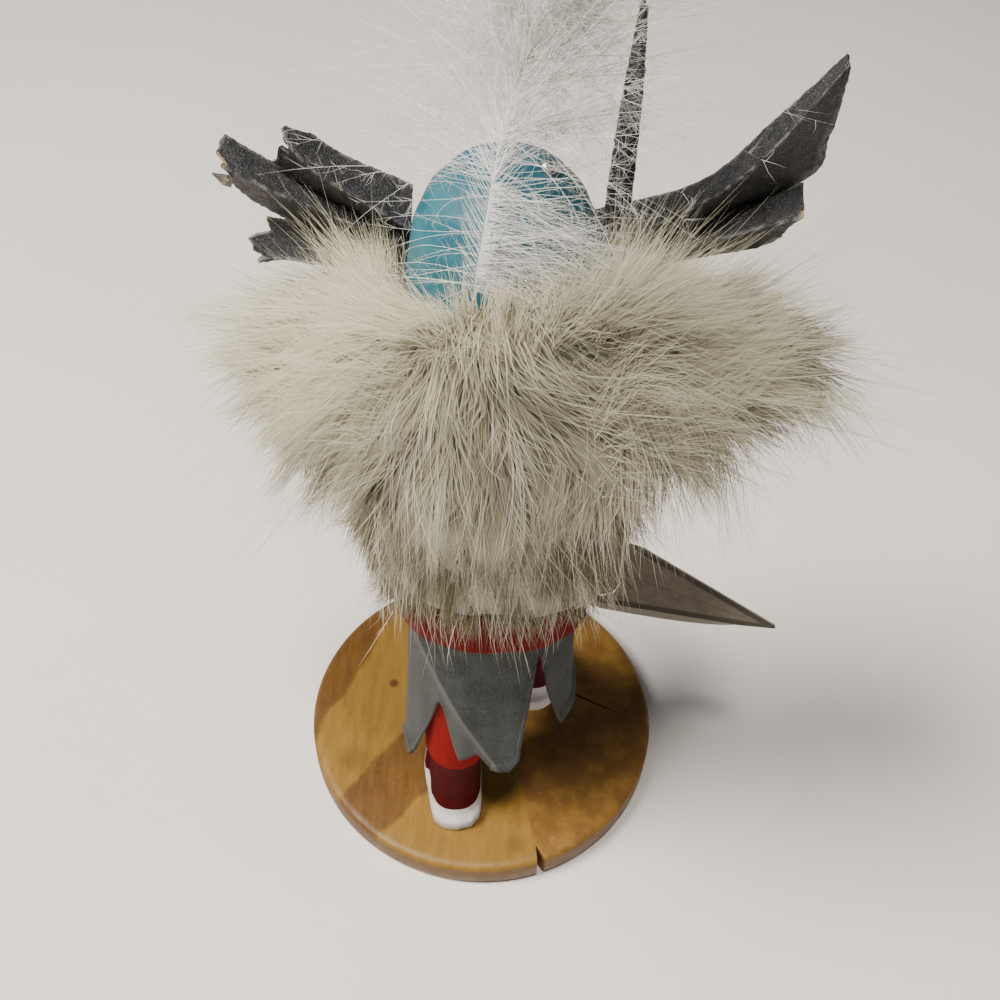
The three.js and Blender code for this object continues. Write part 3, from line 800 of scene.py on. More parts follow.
# pale grey along edges and folds: partly chipped paint, partly painted highlight on edges and creases
chipped_and_highlit = times(chips_and_highlights, mottle(place, 0.8, 0.40, 0.62))
colour = tinted(colour, chipped_and_highlit, 0.6, (0.36, 0.35, 0.34))
tan = blend_colour(mottle(place, 1.8, 0.4, 0.6), (0.34, 0.22, 0.09), (0.48, 0.38, 0.20))
colour = blend_colour(times(core, mottle(place, 0.35, 0.52, 0.56)), colour, tan)
join(colour, shader.inputs["Base Color"])
rough = maths("MULTIPLY_ADD", dust, 0.3, 0.48)
join(rough, shader.inputs["Roughness"])
grain(shader, place, 2.6, 0.9, 0.0004)


# %% Wings: pleated strips
def curve_point(points, t):
    """A point on a smooth curve through the given points, t from 0 to 1."""
    count = len(points) - 1
    place_on = min(t * count, count - 1e-9)
    i = int(place_on)
    f = place_on - i
    p0, p1, p2, p3 = (Vector(points[max(0, min(count, i + k))]) for k in (-1, 0, 1, 2))
    return 0.5 * ((2 * p1) + (p2 - p0) * f + (2 * p0 - 5 * p1 + 4 * p2 - p3) * f * f
                  + (3 * p1 - p0 - 3 * p2 + p3) * f ** 3)


def pleated_strip(folds, seed, tear=0.0, stations=60, between=8, thickness=0.55):
    """A folded sheet through fold curves, torn at its far end, as a closed bmesh."""
    rng = np.random.default_rng(seed)
    across = (len(folds) - 1) * between
    bm = bmesh.new()
    chip_and_highlight = bm.verts.layers.float.new("chip_and_highlight")
    torn = bm.verts.layers.float.new("torn")
    bmesh.ops.create_grid(bm, x_segments=stations, y_segments=across, size=0.5)
    knots = np.repeat(rng.uniform(-1, 1, 8), 3) * 0.8 + rng.uniform(-1, 1, 24) * 0.25
    for vert in bm.verts:
        u, v = vert.co.x + 0.5, 0.5 - vert.co.y
        rag = float(np.interp(v * 23, range(24), knots)) * tear
        t = u * (1 - max(0.0, tear) + rag * u) if tear else u
        t = min(max(t, 0.0), 1.0)
        row = min(int(v * (len(folds) - 1)), len(folds) - 2)
        w = v * (len(folds) - 1) - row
        a, b = curve_point(folds[row], t), curve_point(folds[row + 1], t)
        vert.co = a.lerp(b, w)
        vert.co += Vector(rng.normal(size=3)) * 0.04
        fold_near = abs(w - round(w)) * 2
        edge_near = min(v, 1 - v) * (len(folds) - 1)
        at_tip = 1 - (1 - u) * 40 if tear else 0
        # edges and folds are marked for pale paint: partly chips, partly painted highlight
        vert[chip_and_highlight] = max(0.7 * (1 - edge_near * 9), 0.8 * (1 - fold_near * 6), at_tip, 0)
        vert[torn] = max(0.0, 1 - (1 - u) * 55) if tear else max(0.0, 1 - (1 - u) * 24)
    bmesh.ops.scale(bm, verts=bm.verts, vec=(MM, MM, MM))
    bmesh.ops.solidify(bm, geom=bm.faces[:] + bm.edges[:] + bm.verts[:], thickness=thickness * MM)
    bmesh.ops.remove_doubles(bm, verts=bm.verts, dist=1e-6)
    bmesh.ops.recalc_face_normals(bm, faces=bm.faces)
    return bm


def join_bmeshes(parts):
    whole = bmesh.new()
    for part in parts:
        mesh = bpy.data.meshes.new("part")
        part.to_mesh(mesh)
        part.free()
        whole.from_mesh(mesh)
        bpy.data.meshes.remove(mesh)
    return whole


right_blade = [
    [(11.7, -13.1, 142.3), (24, -13.6, 147), (31.2, -13.6, 155), (37.2, -14.5, 163.3)],
    [(11.7, -17.9, 139.9), (20.6, -18.9, 145), (28.7, -18.5, 151.3), (37.5, -15.6, 162.5)],
    [(11.7, -14.1, 136.5), (35.3, -14.1, 147.1), (38, -14.1, 153.9), (37.9, -15, 161.9)],
]
right_cup = [
    [(11.7, -14.1, 137.5), (25.3, -14.1, 143.3), (36.2, -14.5, 147.9)],
    [(11.7, -17, 134.5), (25.3, -18.3, 141.3), (35.8, -19.1, 145.7)],
    [(11.7, -14.1, 133), (23.4, -15, 136.6), (33.2, -15.5, 139.6), (35.2, -17, 143.4)],
]
right_spike = [
    [(12.5, -15.6, 139.2), (13.0, -15.6, 155), (13.9, -15.6, 168.2)],
    [(14.2, -16.7, 139.2), (14.4, -16.6, 155), (14.3, -15.9, 168.0)],
    [(15.9, -15.9, 139.2), (15.6, -15.8, 155), (14.9, -15.6, 167.7)],
]
left_upper = [
    [(-10.7, -14.1, 137.5), (-17.5, -14.5, 140.9), (-23.4, -15, 144.4), (-27.5, -15, 148.3)],
    [(-10.7, -17.9, 141.3), (-16.6, -18.9, 145.7), (-21.9, -18.5, 149.2), (-25.9, -16, 152.5)],
    [(-10.7, -13.1, 144.8), (-14.1, -13.1, 146.3), (-19.9, -13.1, 149), (-24.9, -13.6, 153.5)],
]
left_cup = [
    [(-10.7, -14.1, 134), (-21.4, -15.5, 138.5), (-29.7, -16, 143.2), (-33.2, -17, 148.2)],
    [(-10.7, -16, 137), (-21.4, -17.9, 143.4), (-27.7, -18.9, 146.9), (-33.5, -17.9, 149.4)],
    [(-10.7, -14.1, 139.9), (-21.4, -14.1, 144.3), (-28, -13.6, 147.7), (-33.1, -13.6, 151)],
]
left_lower = [
    [(-10.7, -15, 134.6), (-21.4, -15, 135.4), (-31.4, -16, 134.4)],
    [(-10.7, -17.9, 135), (-21.4, -18.3, 136), (-31.4, -18.5, 137.7)],
    [(-10.7, -15, 137.9), (-21.4, -15.4, 139.9), (-30.8, -16, 141.8)],
]
wing_right = make_piece("wing_black_right", join_bmeshes([
    pleated_strip(right_blade, 11), pleated_strip(right_cup, 12), pleated_strip(right_spike, 13, between=4)]),
    wing_paint, slot="wing_paint")
wing_left = make_piece("wing_black_left", join_bmeshes([
    pleated_strip(left_upper, 21, tear=0.10), pleated_strip(left_cup, 22, tear=0.09),
    pleated_strip(left_lower, 23, tear=0.13)]), wing_paint, slot="wing_paint")
for wing, cad_name in ((wing_right, "wing_right"), (wing_left, "wing_left")):
    wing.data.set_sharp_from_angle(angle=radians(38))
    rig.replaces(wing, cad_name)

# %% [markdown]
# ## The leaf in the hand
# A flat stiff leaf sticks out from the right hand. Its face is taupe with darker borders, a faint
# stripe runs along it, and its cut edges are pale. The carved solid is merged, cut into a finer
# grid with `bisect_plane`, and striped by the distance across it.

# %% Leaf
LEAF_ROOT = Vector((18.0, -7.5, 64.0))
LEAF_ALONG = Vector((0.949, -0.013, -0.312)).normalized()
LEAF_ACROSS = Vector((0.249, 0.639, 0.73)).normalized()
leaf_paint, place, shader = start_material("taupe_leaf", 0.55, gloss=0.3)


def dot_from(vector, origin, direction):
    away = node(vector.id_data, "ShaderNodeVectorMath", operation="SUBTRACT")
    join(vector, away.inputs[0])
    away.inputs[1].default_value = origin
    made = node(vector.id_data, "ShaderNodeVectorMath", operation="DOT_PRODUCT")
    join(away.outputs[0], made.inputs[0])
    made.inputs[1].default_value = direction
    return made.outputs["Value"]


along = dot_from(place, LEAF_ROOT, LEAF_ALONG)
across = dot_from(place, LEAF_ROOT, LEAF_ACROSS)
top_edge = maths("MULTIPLY_ADD", along, -0.25, 10.25)
low_edge = maths("MULTIPLY_ADD", along, 0.085, -4.4)
from_top = maths("SUBTRACT", top_edge, across)
from_low = maths("SUBTRACT", across, low_edge)
colour = blend_colour(mottle(place, 0.6, 0.35, 0.65), (0.30, 0.25, 0.19), (0.24, 0.20, 0.155))
middle = maths("ABSOLUTE", maths("SUBTRACT", from_top, from_low))
colour = blend_colour(times(ramp(middle, 0.5, 0.1), 0.4), colour, (0.16, 0.13, 0.10))
near_edge = maths("MINIMUM", from_top, from_low)
colour = blend_colour(ramp(near_edge, 1.5, 1.1), colour, (0.105, 0.092, 0.072))
colour = blend_colour(ramp(near_edge, 0.42, 0.25), colour, (0.45, 0.41, 0.33))
join(colour, shader.inputs["Base Color"])
grain(shader, place, 1.4, 0.5, 0.0003)
leaf_mesh = merged_copy("hand_blade")
for step in range(1, 16):
    cut_at = (LEAF_ROOT + LEAF_ALONG * step * 2.6) * MM
    bmesh.ops.bisect_plane(leaf_mesh, geom=leaf_mesh.verts[:] + leaf_mesh.edges[:] + leaf_mesh.faces[:],
                           plane_co=cut_at, plane_no=LEAF_ALONG, dist=1e-7)
leaf = make_piece("hand_leaf", leaf_mesh, leaf_paint, smooth=False, slot="blade_leather")
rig.replaces(leaf, "hand_blade")

# %% Stud
stud_metal, place, shader = start_material("shiny_stud", 0.12)
shader.inputs["Metallic"].default_value = 1.0
colour = blend_colour(mottle(place, 1.4, 0.40, 0.55), (0.80, 0.81, 0.82), (0.10, 0.10, 0.11))
join(colour, shader.inputs["Base Color"])
grain(shader, place, 2.0, 0.3, 0.0002)
stud = make_piece("crown_stud", sanded("head_stud", 0.12 * MM, 3), stud_metal, slot="stud_metal")
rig.replaces(stud, "head_stud")

# %% [markdown]
# ## Hair
# Fur is what this doll shows most of. Hair particles don't leave Blender with a model, so each
# visible hair is a real mesh: a three-sided spike of a few sections, closed at its root and
# pointed at its tip. Operators would take minutes for tens of thousands of them, so the spikes
# are worked out together as arrays, from a root, a direction and a length for each.

# %% Hair: paths
def unit(vectors):
    return vectors / np.maximum(np.linalg.norm(vectors, axis=-1, keepdims=True), 1e-9)


HAIR_OUTSIDE = 12.0
HAIR_LOW = np.array(cad_box[0][:]) / MM - HAIR_OUTSIDE
HAIR_HIGH = np.array(cad_box[1][:]) / MM + HAIR_OUTSIDE


def kept_in(paths):
    """Loose hair that would stand further outside the carved model's box is shortened."""
    out = paths - paths[:, :1]
    room = np.where(out > 0, HAIR_HIGH - paths[:, :1], paths[:, :1] - HAIR_LOW)
    share = (room / np.maximum(np.abs(out), 1e-6)).min(axis=(1, 2))
    uneven = np.random.default_rng(len(paths)).uniform(0.75, 1.0, len(paths))
    return paths[:, :1] + out * np.where(share < 1, share.clip(0) * uneven, 1.0)[:, None, None]


def hair_paths(rng, roots, leans, lengths, sections, fall=0.3, stray=0.15, bunch=0.6, guides=300, wander=0.0):
    """Curved paths in mm, gathered towards guide hairs so that the tips lie in locks.

    Every lock also bends a way of its own, by the given wander."""
    count = len(roots)
    t = np.linspace(0, 1, sections + 1)[None, :, None]
    bend = np.array([0, 0, -fall]) + rng.normal(size=(count, 3)) * stray
    reach = lengths[:, None, None]
    paths = roots[:, None, :] + reach * (leans[:, None, :] * t + 0.5 * bend[:, None, :] * t ** 2)
    if bunch and guides < count:
        chosen = rng.choice(count, guides, replace=False)
        tree = kdtree.KDTree(guides)
        for i, j in enumerate(chosen):
            tree.insert(roots[j], i)
        tree.balance()
        nearest = chosen[np.array([tree.find(root)[1] for root in roots])]
        towards = paths[nearest] + (roots - roots[nearest])[:, None, :] * 0.12
        share = np.clip(bunch * rng.uniform(0.5, 1.2, count), 0, 0.95)[:, None, None]
        paths += (towards - paths) * share * t ** 1.3
        paths += reach * rng.normal(size=(count, 3))[nearest][:, None, :] * wander * t ** 1.7
        return kept_in(paths), nearest
    return kept_in(paths), np.arange(count)


# %% Hair: meshes
def hair_piece(name, paths, radii, tones, material, slot, outward, softness=3.0):
    """One closed three-sided spike along every path, with its shade and its root-to-tip place.

    Its shading normals lean towards the outward direction of the skin, as light lies on a pelt."""
    count, rows, _ = paths.shape
    rings = rows - 1
    forward = unit(np.gradient(paths, axis=1))
    seed_side = unit(np.cross(forward, np.array([0.31, 0.52, 0.79])))
    other = np.cross(forward, seed_side)
    t = np.linspace(0, 1, rows)[None, :rings, None]
    radius = radii[:, None, None] * (1 - t) ** 0.6
    corners = []
    for k in range(3):
        turn = 2 * pi * k / 3
        outwards = seed_side[:, :rings] * cos(turn) + other[:, :rings] * sin(turn)
        corners.append(paths[:, :rings] + radius * outwards)
    ring_points = np.stack(corners, axis=2).reshape(count, rings * 3, 3)
    points = np.concatenate([ring_points, paths[:, -1:]], axis=1)
    each = rings * 3 + 1
    faces3, faces4 = [(0, 2, 1)], []
    for r in range(rings - 1):
        for k in range(3):
            a, b = r * 3 + k, r * 3 + (k + 1) % 3
            faces4.append((a, b, b + 3, a + 3))
    last = (rings - 1) * 3
    faces3 += [(last + k, last + (k + 1) % 3, rings * 3) for k in range(3)]
    offsets = (np.arange(count) * each)[:, None, None]
    all3 = (np.array(faces3)[None] + offsets).reshape(-1, 3)
    all4 = (np.array(faces4)[None] + offsets).reshape(-1, 4)
    mesh = bpy.data.meshes.new(name)
    mesh.vertices.add(count * each)
    mesh.vertices.foreach_set("co", (points * MM).astype(np.float32).ravel())
    loops = np.concatenate([all3.ravel(), all4.ravel()]).astype(np.int32)
    mesh.loops.add(len(loops))
    mesh.loops.foreach_set("vertex_index", loops)
    sizes = np.concatenate([np.full(len(all3), 3), np.full(len(all4), 4)])
    mesh.polygons.add(len(sizes))
    mesh.polygons.foreach_set("loop_start", (np.cumsum(sizes) - sizes).astype(np.int32))
    mesh.polygons.foreach_set("use_smooth", np.ones(len(sizes), dtype=bool))
    mesh.update(calc_edges=True)
    along = np.concatenate([np.repeat(np.linspace(0, 1, rows)[:rings], 3), [1.0]])
    shade = mesh.attributes.new("shade", "FLOAT", "POINT")
    shade.data.foreach_set("value", np.repeat(tones, each).astype(np.float32))
    to_tip = mesh.attributes.new("to_tip", "FLOAT", "POINT")
    to_tip.data.foreach_set("value", np.tile(along, count).astype(np.float32))
    around = ring_points.reshape(count, rings, 3, 3) - paths[:, :rings, None]
    own = np.concatenate([around.reshape(count, -1, 3), forward[:, -1:]], axis=1)
    leaning = unit(unit(own) + softness * outward[:, None, :])
    mesh.normals_split_custom_set_from_vertices(leaning.reshape(-1, 3).tolist())
    piece = linked(name, mesh)
    mesh.materials.append(material)
    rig.ride(piece, "root")
    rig.slot(piece, slot)
    print(name, count, "hairs,", len(all3) + 2 * len(all4), "triangles")
    return piece


# %% Hair: where it grows
def surface_roots(rng, bm, count, keep=None):
    """Seeded points on a surface, in mm, with the outward direction at each."""
    tris = bm.calc_loop_triangles()
    points = np.array([[loop.vert.co[:] for loop in tri] for tri in tris]) / MM
    sides = np.array([[loop.vert.normal[:] for loop in tri] for tri in tris])
    areas = np.linalg.norm(np.cross(points[:, 1] - points[:, 0], points[:, 2] - points[:, 0]), axis=1)
    if keep is not None:
        areas = areas * keep(points.mean(axis=1), sides.mean(axis=1))
    picked = rng.choice(len(tris), count, p=areas / areas.sum())
    a, b = rng.random(count), rng.random(count)
    flip = a + b > 1
    a[flip], b[flip] = 1 - a[flip], 1 - b[flip]
    mix = np.stack([1 - a - b, a, b], axis=1)[:, :, None]
    return (points[picked] * mix).sum(axis=1), unit((sides[picked] * mix).sum(axis=1))


def combed(directions, normals, lift):
    """Directions laid along the skin, then lifted off it by an angle in radians."""
    flat = unit(directions - (directions * normals).sum(axis=1, keepdims=True) * normals)
    lift = np.broadcast_to(lift, len(flat))[:, None]
    return flat * np.cos(lift) + normals * np.sin(lift)


# %% [markdown]
# The under-fur is soft and close, cream with grey shadow between its locks, and the guard hairs
# over it are longer, straighter and white with darker tips. Both finishes read the shade that
# each hair was given and how far along it a point is.

# %% Hair: finishes
def hair_finish(name, root, light, dark, tip, tip_from, roughness):
    material, place, shader = start_material(name, roughness, gloss=0.2)
    to_tip = attribute(place, "to_tip")
    body = blend_colour(attribute(place, "shade"), dark, light)
    # painted shade: each hair is darker towards its root, for the shade deep in the pelt
    colour = blend_colour(ramp(to_tip, 0.0, 0.45), root, body)
    colour = tinted(colour, ramp(to_tip, tip_from, 1.0), 0.8, tip)
    join(colour, shader.inputs["Base Color"])
    return material


under_fur = hair_finish(
    "under_fur", (0.42, 0.39, 0.26), (0.54, 0.51, 0.37), (0.43, 0.40, 0.275), (0.62, 0.585, 0.45), 0.7, 0.6)
guard_fur = hair_finish(
    "guard_fur", (0.58, 0.54, 0.42), (0.90, 0.86, 0.74), (0.50, 0.455, 0.34), (0.28, 0.24, 0.17), 0.85, 0.45)
# painted shade: the cape's cream hair is given dark olive tones, for the shade under the ruff
shaded_cape_fur = hair_finish(
    "shaded_cape_fur", (0.16, 0.145, 0.07), (0.225, 0.205, 0.11), (0.17, 0.152, 0.078), (0.27, 0.25, 0.15), 0.7, 0.6)

skin, place, shader = start_material("matted_fur", 0.9, gloss=0.1)
locks = noise(place, 0.55, detail=6.0, roughness=0.7)
colour = blend_colour(ramp(locks, 0.35, 0.66), (0.42, 0.39, 0.28), (0.52, 0.485, 0.36))
join(colour, shader.inputs["Base Color"])
shader.inputs["Sheen Weight"].default_value = 0.3
grain(shader, place, 1.6, 0.9, 0.0008)

# %% [markdown]
# ## The ruff
# The ruff is a strip of rabbit fur tied round the neck. Its hair parts behind the mask and
# radiates out and down from there, so every hair runs away from the parting, a little lifted.
# A slightly shrunken copy of the carved ruff is the mat underneath.

# %% Ruff: mat and comb
def ruff_depth(place):
    """The mat keeps the carved throat and is drawn in towards its rim, where the hair stands."""
    return 3.4 * MM * min(1.0, max(0.0, (Vector((place.x - AXIS.x, place.y - AXIS.y)).length / MM - 14) / 10))


ruff_body = sanded("fur_ruff", 1.2 * MM, 2, shrink=ruff_depth)
ruff_body.normal_update()
rng = np.random.default_rng(6)
PARTING_BACK, PARTING_FRONT = np.array([0.4, -27.0, 143.0]), np.array([0.8, -13.0, 131.0])


def swirl(points, size, seed):
    """A smooth field of small turns, so that neighbouring locks cross a little."""
    mix = np.random.default_rng(seed)
    field = np.zeros_like(points)
    for _ in range(5):
        wave = mix.normal(size=3) / size
        field += np.sin(points @ wave + mix.uniform(0, 6.3))[:, None] * mix.normal(size=3)
    return field / 5


def away_from_parting(points):
    share = np.clip((points[:, 1:2] + 24) / 14, 0, 1)
    start = PARTING_BACK * (1 - share) + PARTING_FRONT * share
    return unit(points - start) + np.array([0, 0, -0.06]) + swirl(points, 8.0, 3) * 1.4


def from_axis(points):
    return np.hypot(points[:, 0] - MID_X, points[:, 1] - MID_Y)


def outer_skin(points, normals):
    """Leave out the throat of the ring, which the mask hides."""
    out = from_axis(points) - 13.2
    return np.clip(out / 2, 0, 1) * np.where(normals[:, 2] > -0.6, 1.0, 0.45)


def low_rim(points):
    """Hair grows shorter under the ruff's rim, where it would fall over the cape."""
    return np.interp(points[:, 2], [109, 125], [0.45, 1.0])


def lock_tones(rng, nearest):
    """A shade for each hair, shared by its lock with a little of its own."""
    by_lock = rng.random(nearest.max() + 1)
    return np.clip(0.7 * by_lock[nearest] + 0.3 * rng.random(len(nearest)), 0, 1)


# %% Ruff: hair
RUFF_LAYERS = [
    # hairs, locks, sections, shortest, longest, lift, half thickness, bunching
    (10400, 520, 2, 5.5, 8.5, 0.55, 0.14, 0.35),
    (12300, 620, 3, 8.5, 13.5, 0.42, 0.052, 0.62),
]
for layer, (count, locks_in, sections, low, high, lift, thick, bunch) in enumerate(RUFF_LAYERS):
    roots, normals = surface_roots(rng, ruff_body, count, outer_skin)
    leans = combed(away_from_parting(roots), normals, rng.uniform(lift * 0.6, lift * 1.4, count))
    lengths = rng.uniform(low, high, count) * low_rim(roots)
    paths, nearest = hair_paths(rng, roots, leans, lengths, sections, fall=0.2, stray=0.22, bunch=bunch,
                                guides=locks_in, wander=0.24)
    hair_piece(f"ruff_hair_{layer + 1}", paths, rng.uniform(0.8, 1.2, count) * thick,
               lock_tones(rng, nearest), under_fur, "fur", normals)

count = 2300
roots, normals = surface_roots(rng, ruff_body, count, outer_skin)
leans = combed(away_from_parting(roots), normals, rng.uniform(0.15, 0.7, count))
paths, nearest = hair_paths(rng, roots, leans, rng.uniform(11, 20, count) * low_rim(roots), 5,
                            fall=0.2, stray=0.3, bunch=0.35, guides=300, wander=0.26)
hair_piece("ruff_guard_hair", paths, rng.uniform(0.03, 0.055, count), rng.random(count), guard_fur,
           "fur", normals, 0.8)


# %% [markdown]
# Round the throat the hair stands up against the mask before it tips outward, and hides its rim.

# %% Ruff: collar
def throat(points, normals):
    out = from_axis(points)
    crowded = np.where(points[:, 1] < -15, 1.0 + np.clip(np.abs(points[:, 0] + 1) / 4, 0, 1.6), 0.5)
    return (np.abs(out - 14.5) < 2.4) * (normals[:, 2] > 0.1) * crowded


TALLER = [1.25, 1.35, 0.85, 1.75, 1.4]


def rising_hair(name, count, keep, push, low, high, fall, thick, locks_in):
    roots, normals = surface_roots(rng, ruff_body, count, keep)
    outwards = unit((roots - np.array([0.8, -19, 0])) * np.array([1, 1, 0]))
    leans = unit(outwards * rng.uniform(*push, count)[:, None] + np.array([0, 0, 1.0])
                 + swirl(roots, 6.0, 9) * 0.5)
    taller = np.interp(roots[:, 0], [-30, -9, -1, 9, 32], TALLER)
    paths, nearest = hair_paths(rng, roots, leans, rng.uniform(low, high, count) * taller, 3,
                                fall=fall, stray=0.25, bunch=0.4, guides=locks_in, wander=0.15)
    hair_piece(name, paths, rng.uniform(0.7, 1.2, count) * thick, lock_tones(rng, nearest), under_fur, "fur",
               unit(normals + np.array([0, -0.3, 0.8])))


def over_wings(points, normals):
    """The top of the ruff under and before the wings, and most of all behind the right wing's root."""
    aside = np.abs(points[:, 0] - MID_X)
    near_root = np.exp(-((points[:, 0] - 11) / 5) ** 2 - ((points[:, 1] + 26) / 5) ** 2)
    return (normals[:, 2] > 0.2) * (points[:, 1] < -17) * (((aside > 9) & (aside < 31)) * 1.0 + 4 * near_root)


rising_hair("ruff_collar_hair", 4600, throat, (-0.05, 0.8), 6, 11, 0.35, 0.05, 260)
rising_hair("ruff_wing_hair", 3000, over_wings, (0.2, 1.2), 8, 14, 0.5, 0.04, 200)
ruff = make_piece("ruff_mat", ruff_body, skin, slot="fur")
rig.replaces(ruff, "fur_ruff")

# %% [markdown]
# ## The cape
# A second, yellower skin hangs from the shoulders to the sash. Its hair is shorter and smoother,
# it all hangs down, and a ragged fringe of it strays over the red felt. Its cream hair is painted
# dark, as painted shade under the ruff.

# %% Cape
HEM_RISE = 5.0
cape_body = sanded("fur_cape", 1.3 * MM, 2, shrink=lambda place: 1.5 * MM)
for vert in cape_body.verts:
    vert.co.z += HEM_RISE * MM * min(1.0, max(0.0, (88 - vert.co.z / MM) / 12))
cape_body.normal_update()
rng = np.random.default_rng(17)


def cape_skin(points, normals):
    across = (points[:, 0] - MID_X)
    deep = (points[:, 1] - MID_Y) / 0.72
    outward = (normals[:, 0] * across + normals[:, 1] * deep) / np.maximum(np.hypot(across, deep), 1e-6)
    return np.clip(outward * 2 + 0.3, 0.02, 1)


count = 8000
roots, normals = surface_roots(rng, cape_body, count, cape_skin)
downward = np.stack([(roots[:, 0] - MID_X) * 0.012, (roots[:, 1] - MID_Y) * 0.012,
                     np.full(count, -1.0)], axis=1)
leans = combed(downward, normals, rng.uniform(0.06, 0.32, count))
above_hem = roots[:, 2] - 82 + 7 * ((roots[:, 0] - 1) / 19) ** 2
lengths = np.minimum(rng.uniform(6, 10, count), np.maximum(above_hem, 0) + rng.gamma(2.0, 0.75, count) + 1.0)
paths, nearest = hair_paths(rng, roots, leans, lengths, 3, fall=0.25, stray=0.2, bunch=0.4,
                            guides=420, wander=0.16)
hair_piece("cape_hair", paths, rng.uniform(0.06, 0.11, count), lock_tones(rng, nearest) * 0.7 + 0.2,
           shaded_cape_fur, "fur", normals)

count = 900
roots, normals = surface_roots(rng, cape_body, count, cape_skin)
downward = np.stack([rng.normal(size=count) * 0.35, (roots[:, 1] - MID_Y) * 0.01,
                     np.full(count, -1.0)], axis=1)
leans = combed(downward, normals, rng.uniform(0.1, 0.55, count))
above_hem = roots[:, 2] - 79.5 + 6 * ((roots[:, 0] - 1) / 19) ** 2
lengths = np.minimum(rng.uniform(9, 16, count), np.maximum(above_hem, 0) + rng.gamma(2.0, 1.8, count) + 2)
paths, nearest = hair_paths(rng, roots, leans, lengths, 4, fall=0.3, stray=0.3, bunch=0.25, guides=160)
hair_piece("cape_guard_hair", paths, rng.uniform(0.035, 0.065, count), rng.random(count), guard_fur,
           "fur", normals, 0.8)
cape = make_piece("cape_mat", cape_body, skin, slot="fur")
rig.replaces(cape, "fur_cape")

# %% [markdown]
# ## The down plume
# One white down feather stands behind the crown. Its quill rises from the ruff and leans over the
# dome, short barbs lie in a herringbone near its foot, and higher up the barbs run wild. The
# quill, the barbs and their finest threads are all spikes of the same kind as the hairs.

# %% Plume: quill and barbs
rng = np.random.default_rng(29)
QUILL = [(-2.6, -31.8, 141.4), (-2.1, -32.2, 146.0), (-1.4, -31.6, 151.0), (-0.6, -29.8, 157.0),
         (0.9, -27.2, 163.0), (3.0, -24.6, 169.0), (5.0, -22.5, 173.5)]
quill_path = np.array([[curve_point(QUILL, t)[:] for t in np.linspace(0, 1, 17)]])


def along_quill(heights):
    feet = np.array([curve_point(QUILL, t)[:] for t in heights])
    ahead = unit(np.array([(curve_point(QUILL, min(t + 0.02, 1)) - curve_point(QUILL, max(t - 0.02, 0)))[:]
                           for t in heights]))
    return feet, ahead, unit(np.cross(ahead, np.array([0.0, 1.0, 0.25])))


def barbs_at(heights, lean_of, lengths, fall, stray):
    feet, ahead, side = along_quill(heights)
    leans = unit(lean_of(ahead, side) + rng.normal(size=feet.shape) * 0.06)
    return hair_paths(rng, feet, leans, lengths, 6, fall=fall, stray=stray, bunch=0)[0]


rows = np.tile(np.linspace(0.04, 0.60, 64), 2)
hands = np.repeat([-1.0, 1.0], 64)[:, None]
comb = barbs_at(rows, lambda ahead, side: side * hands * 0.66 + ahead * 0.75,
                np.interp(rows, [0, 0.2, 0.6], [2.4, 4.0, 5.2]) * rng.uniform(0.85, 1.15, 128), -0.5, 0.12)
count = 480
fan_turn = rng.uniform(-1.8, 1.8, count)[:, None]
fan_rows = rng.uniform(0.45, 0.98, count)
fan = barbs_at(fan_rows, lambda ahead, side: side * np.sin(fan_turn) + ahead * np.cos(fan_turn)
               + np.array([0, 1.0, 0]) * rng.uniform(-0.5, 0.5, count)[:, None],
               rng.uniform(8, 22, count) * np.interp(fan_rows, [0.45, 0.7, 1], [1.0, 0.9, 0.45]), 0.0, 0.75)
count = 250
veil_side = np.where(rng.random(count) < 0.9, -1.0, 1.0)[:, None]
veil = barbs_at(rng.uniform(0.06, 0.46, count), lambda ahead, side: side * veil_side
                + ahead * rng.uniform(-0.35, 0.55, count)[:, None] + np.array([0, -0.2, 0]),
                rng.uniform(8, 17, count), 0.3, 0.35)
count = 90
wisps = barbs_at(rng.uniform(0.55, 1.0, count), lambda ahead, side:
                 side * rng.uniform(-1.9, 0.7, count)[:, None] + ahead * 0.9,
                 rng.uniform(17, 30, count), 0.1, 0.75)
print("barbs:", len(comb), len(fan), len(veil), len(wisps))

# %% [markdown]
# Each barb of down carries fine threads on both sides. They are regular and short in the
# herringbone, and longer and looser where the feather is fluffy.

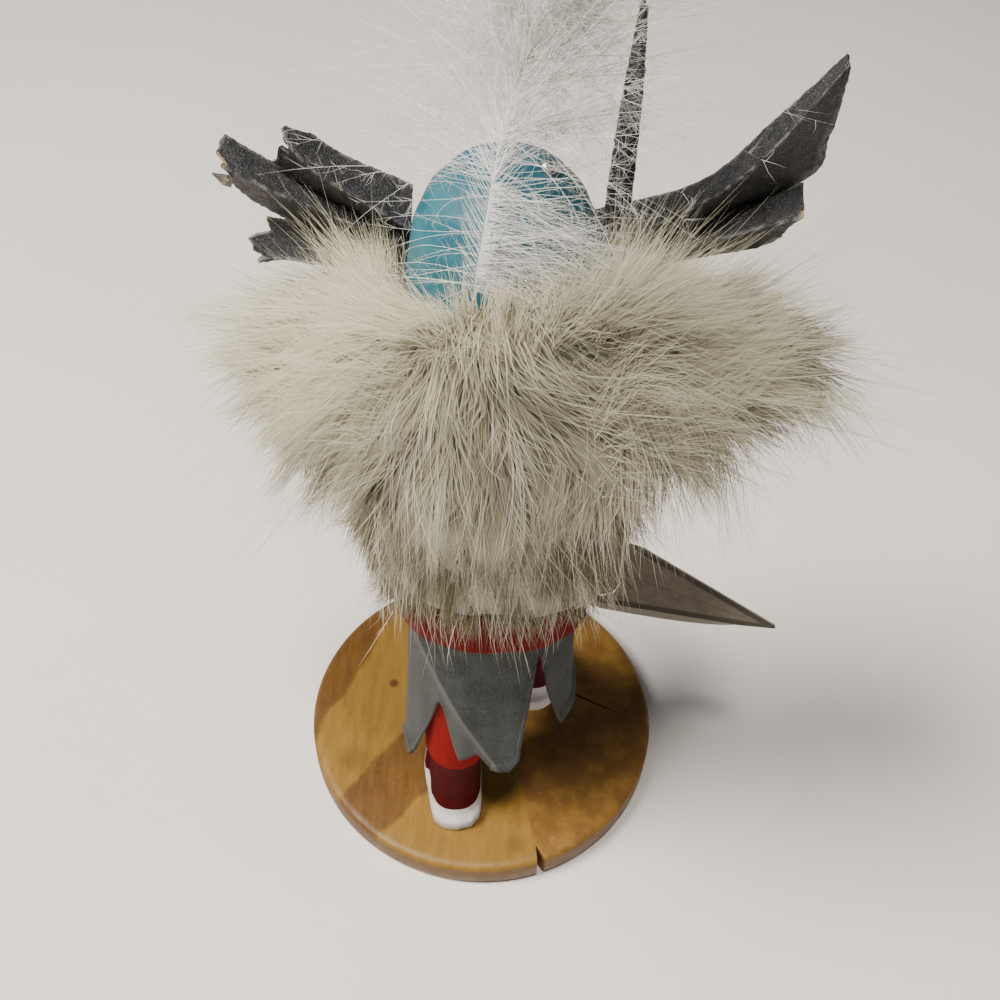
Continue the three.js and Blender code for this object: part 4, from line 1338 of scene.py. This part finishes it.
# %% Plume: threads
def threads_on(barbs, each, long, loose, start=0.05):
    which = np.repeat(np.arange(len(barbs)), each)
    steps = rng.uniform(start, 1.0, len(which)) * 6
    low = np.minimum(steps.astype(int), 5)
    part = (steps - low)[:, None]
    roots = barbs[which, low] * (1 - part) + barbs[which, low + 1] * part
    forward = unit(barbs[which, low + 1] - barbs[which, low])
    leans = unit(forward * (1.0 - 0.4 * loose) + unit(rng.normal(size=forward.shape)) * (0.4 + 0.6 * loose))
    lengths = long * rng.uniform(0.5, 1.2, len(which))
    return hair_paths(rng, roots, leans, lengths, 2, fall=0.0, stray=0.5, bunch=0)[0]


threads = np.concatenate([threads_on(comb, 6, 0.8, 0.1), threads_on(fan, 18, 2.8, 0.9, 0.4),
                          threads_on(veil, 10, 1.6, 0.5)])
down_feather = hair_finish(
    "white_down", (0.84, 0.83, 0.80), (0.92, 0.91, 0.88), (0.74, 0.72, 0.68), (0.72, 0.69, 0.65), 0.6, 0.5)
# painted shade: the finest threads of the white down are painted grey, for the shade in the fluff
shaded_down_haze = hair_finish(
    "shaded_white_haze", (0.66, 0.64, 0.59), (0.72, 0.70, 0.66), (0.48, 0.455, 0.42), (0.50, 0.47, 0.43), 0.6, 0.4)
shaded_down_haze.node_tree.nodes["Principled BSDF"].inputs["Alpha"].default_value = 0.55
skyward = unit(np.array([[0.0, -0.5, 0.85]]))
quill = hair_piece("plume_quill", quill_path, np.array([0.14]), np.array([0.9]), down_feather, "down",
                   skyward, 0.5)
barbs = np.concatenate([comb, fan, veil])
thick = np.concatenate([np.full(len(comb), 0.045), np.full(len(fan) + len(veil), 0.028)])
hair_piece("plume_wisps", wisps, rng.uniform(0.03, 0.06, len(wisps)), rng.random(len(wisps)) * 0.5, guard_fur,
           "down", np.repeat(skyward, len(wisps), axis=0), 0.5)
hair_piece("plume_barbs", barbs, thick, rng.random(len(barbs)), down_feather, "down",
           np.repeat(skyward, len(barbs), axis=0))
hair_piece("plume_threads", threads, rng.uniform(0.018, 0.034, len(threads)), rng.random(len(threads)),
           shaded_down_haze, "down", np.repeat(skyward, len(threads), axis=0))
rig.replaces(quill, "head_plume")

# %% [markdown]
# ## Finish
# The sizes of the carved solids and of the dressed doll are written side by side.

# %% Finish
whole_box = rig.bounds()
with open("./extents.json", "w") as out:
    json.dump({"cad": [list(corner) for corner in cad_box],
               "visual": [list(corner) for corner in whole_box]}, out)
print("carved box", [tuple(round(c / MM, 1) for c in corner) for corner in cad_box])
print("dressed box", [tuple(round(c / MM, 1) for c in corner) for corner in whole_box])
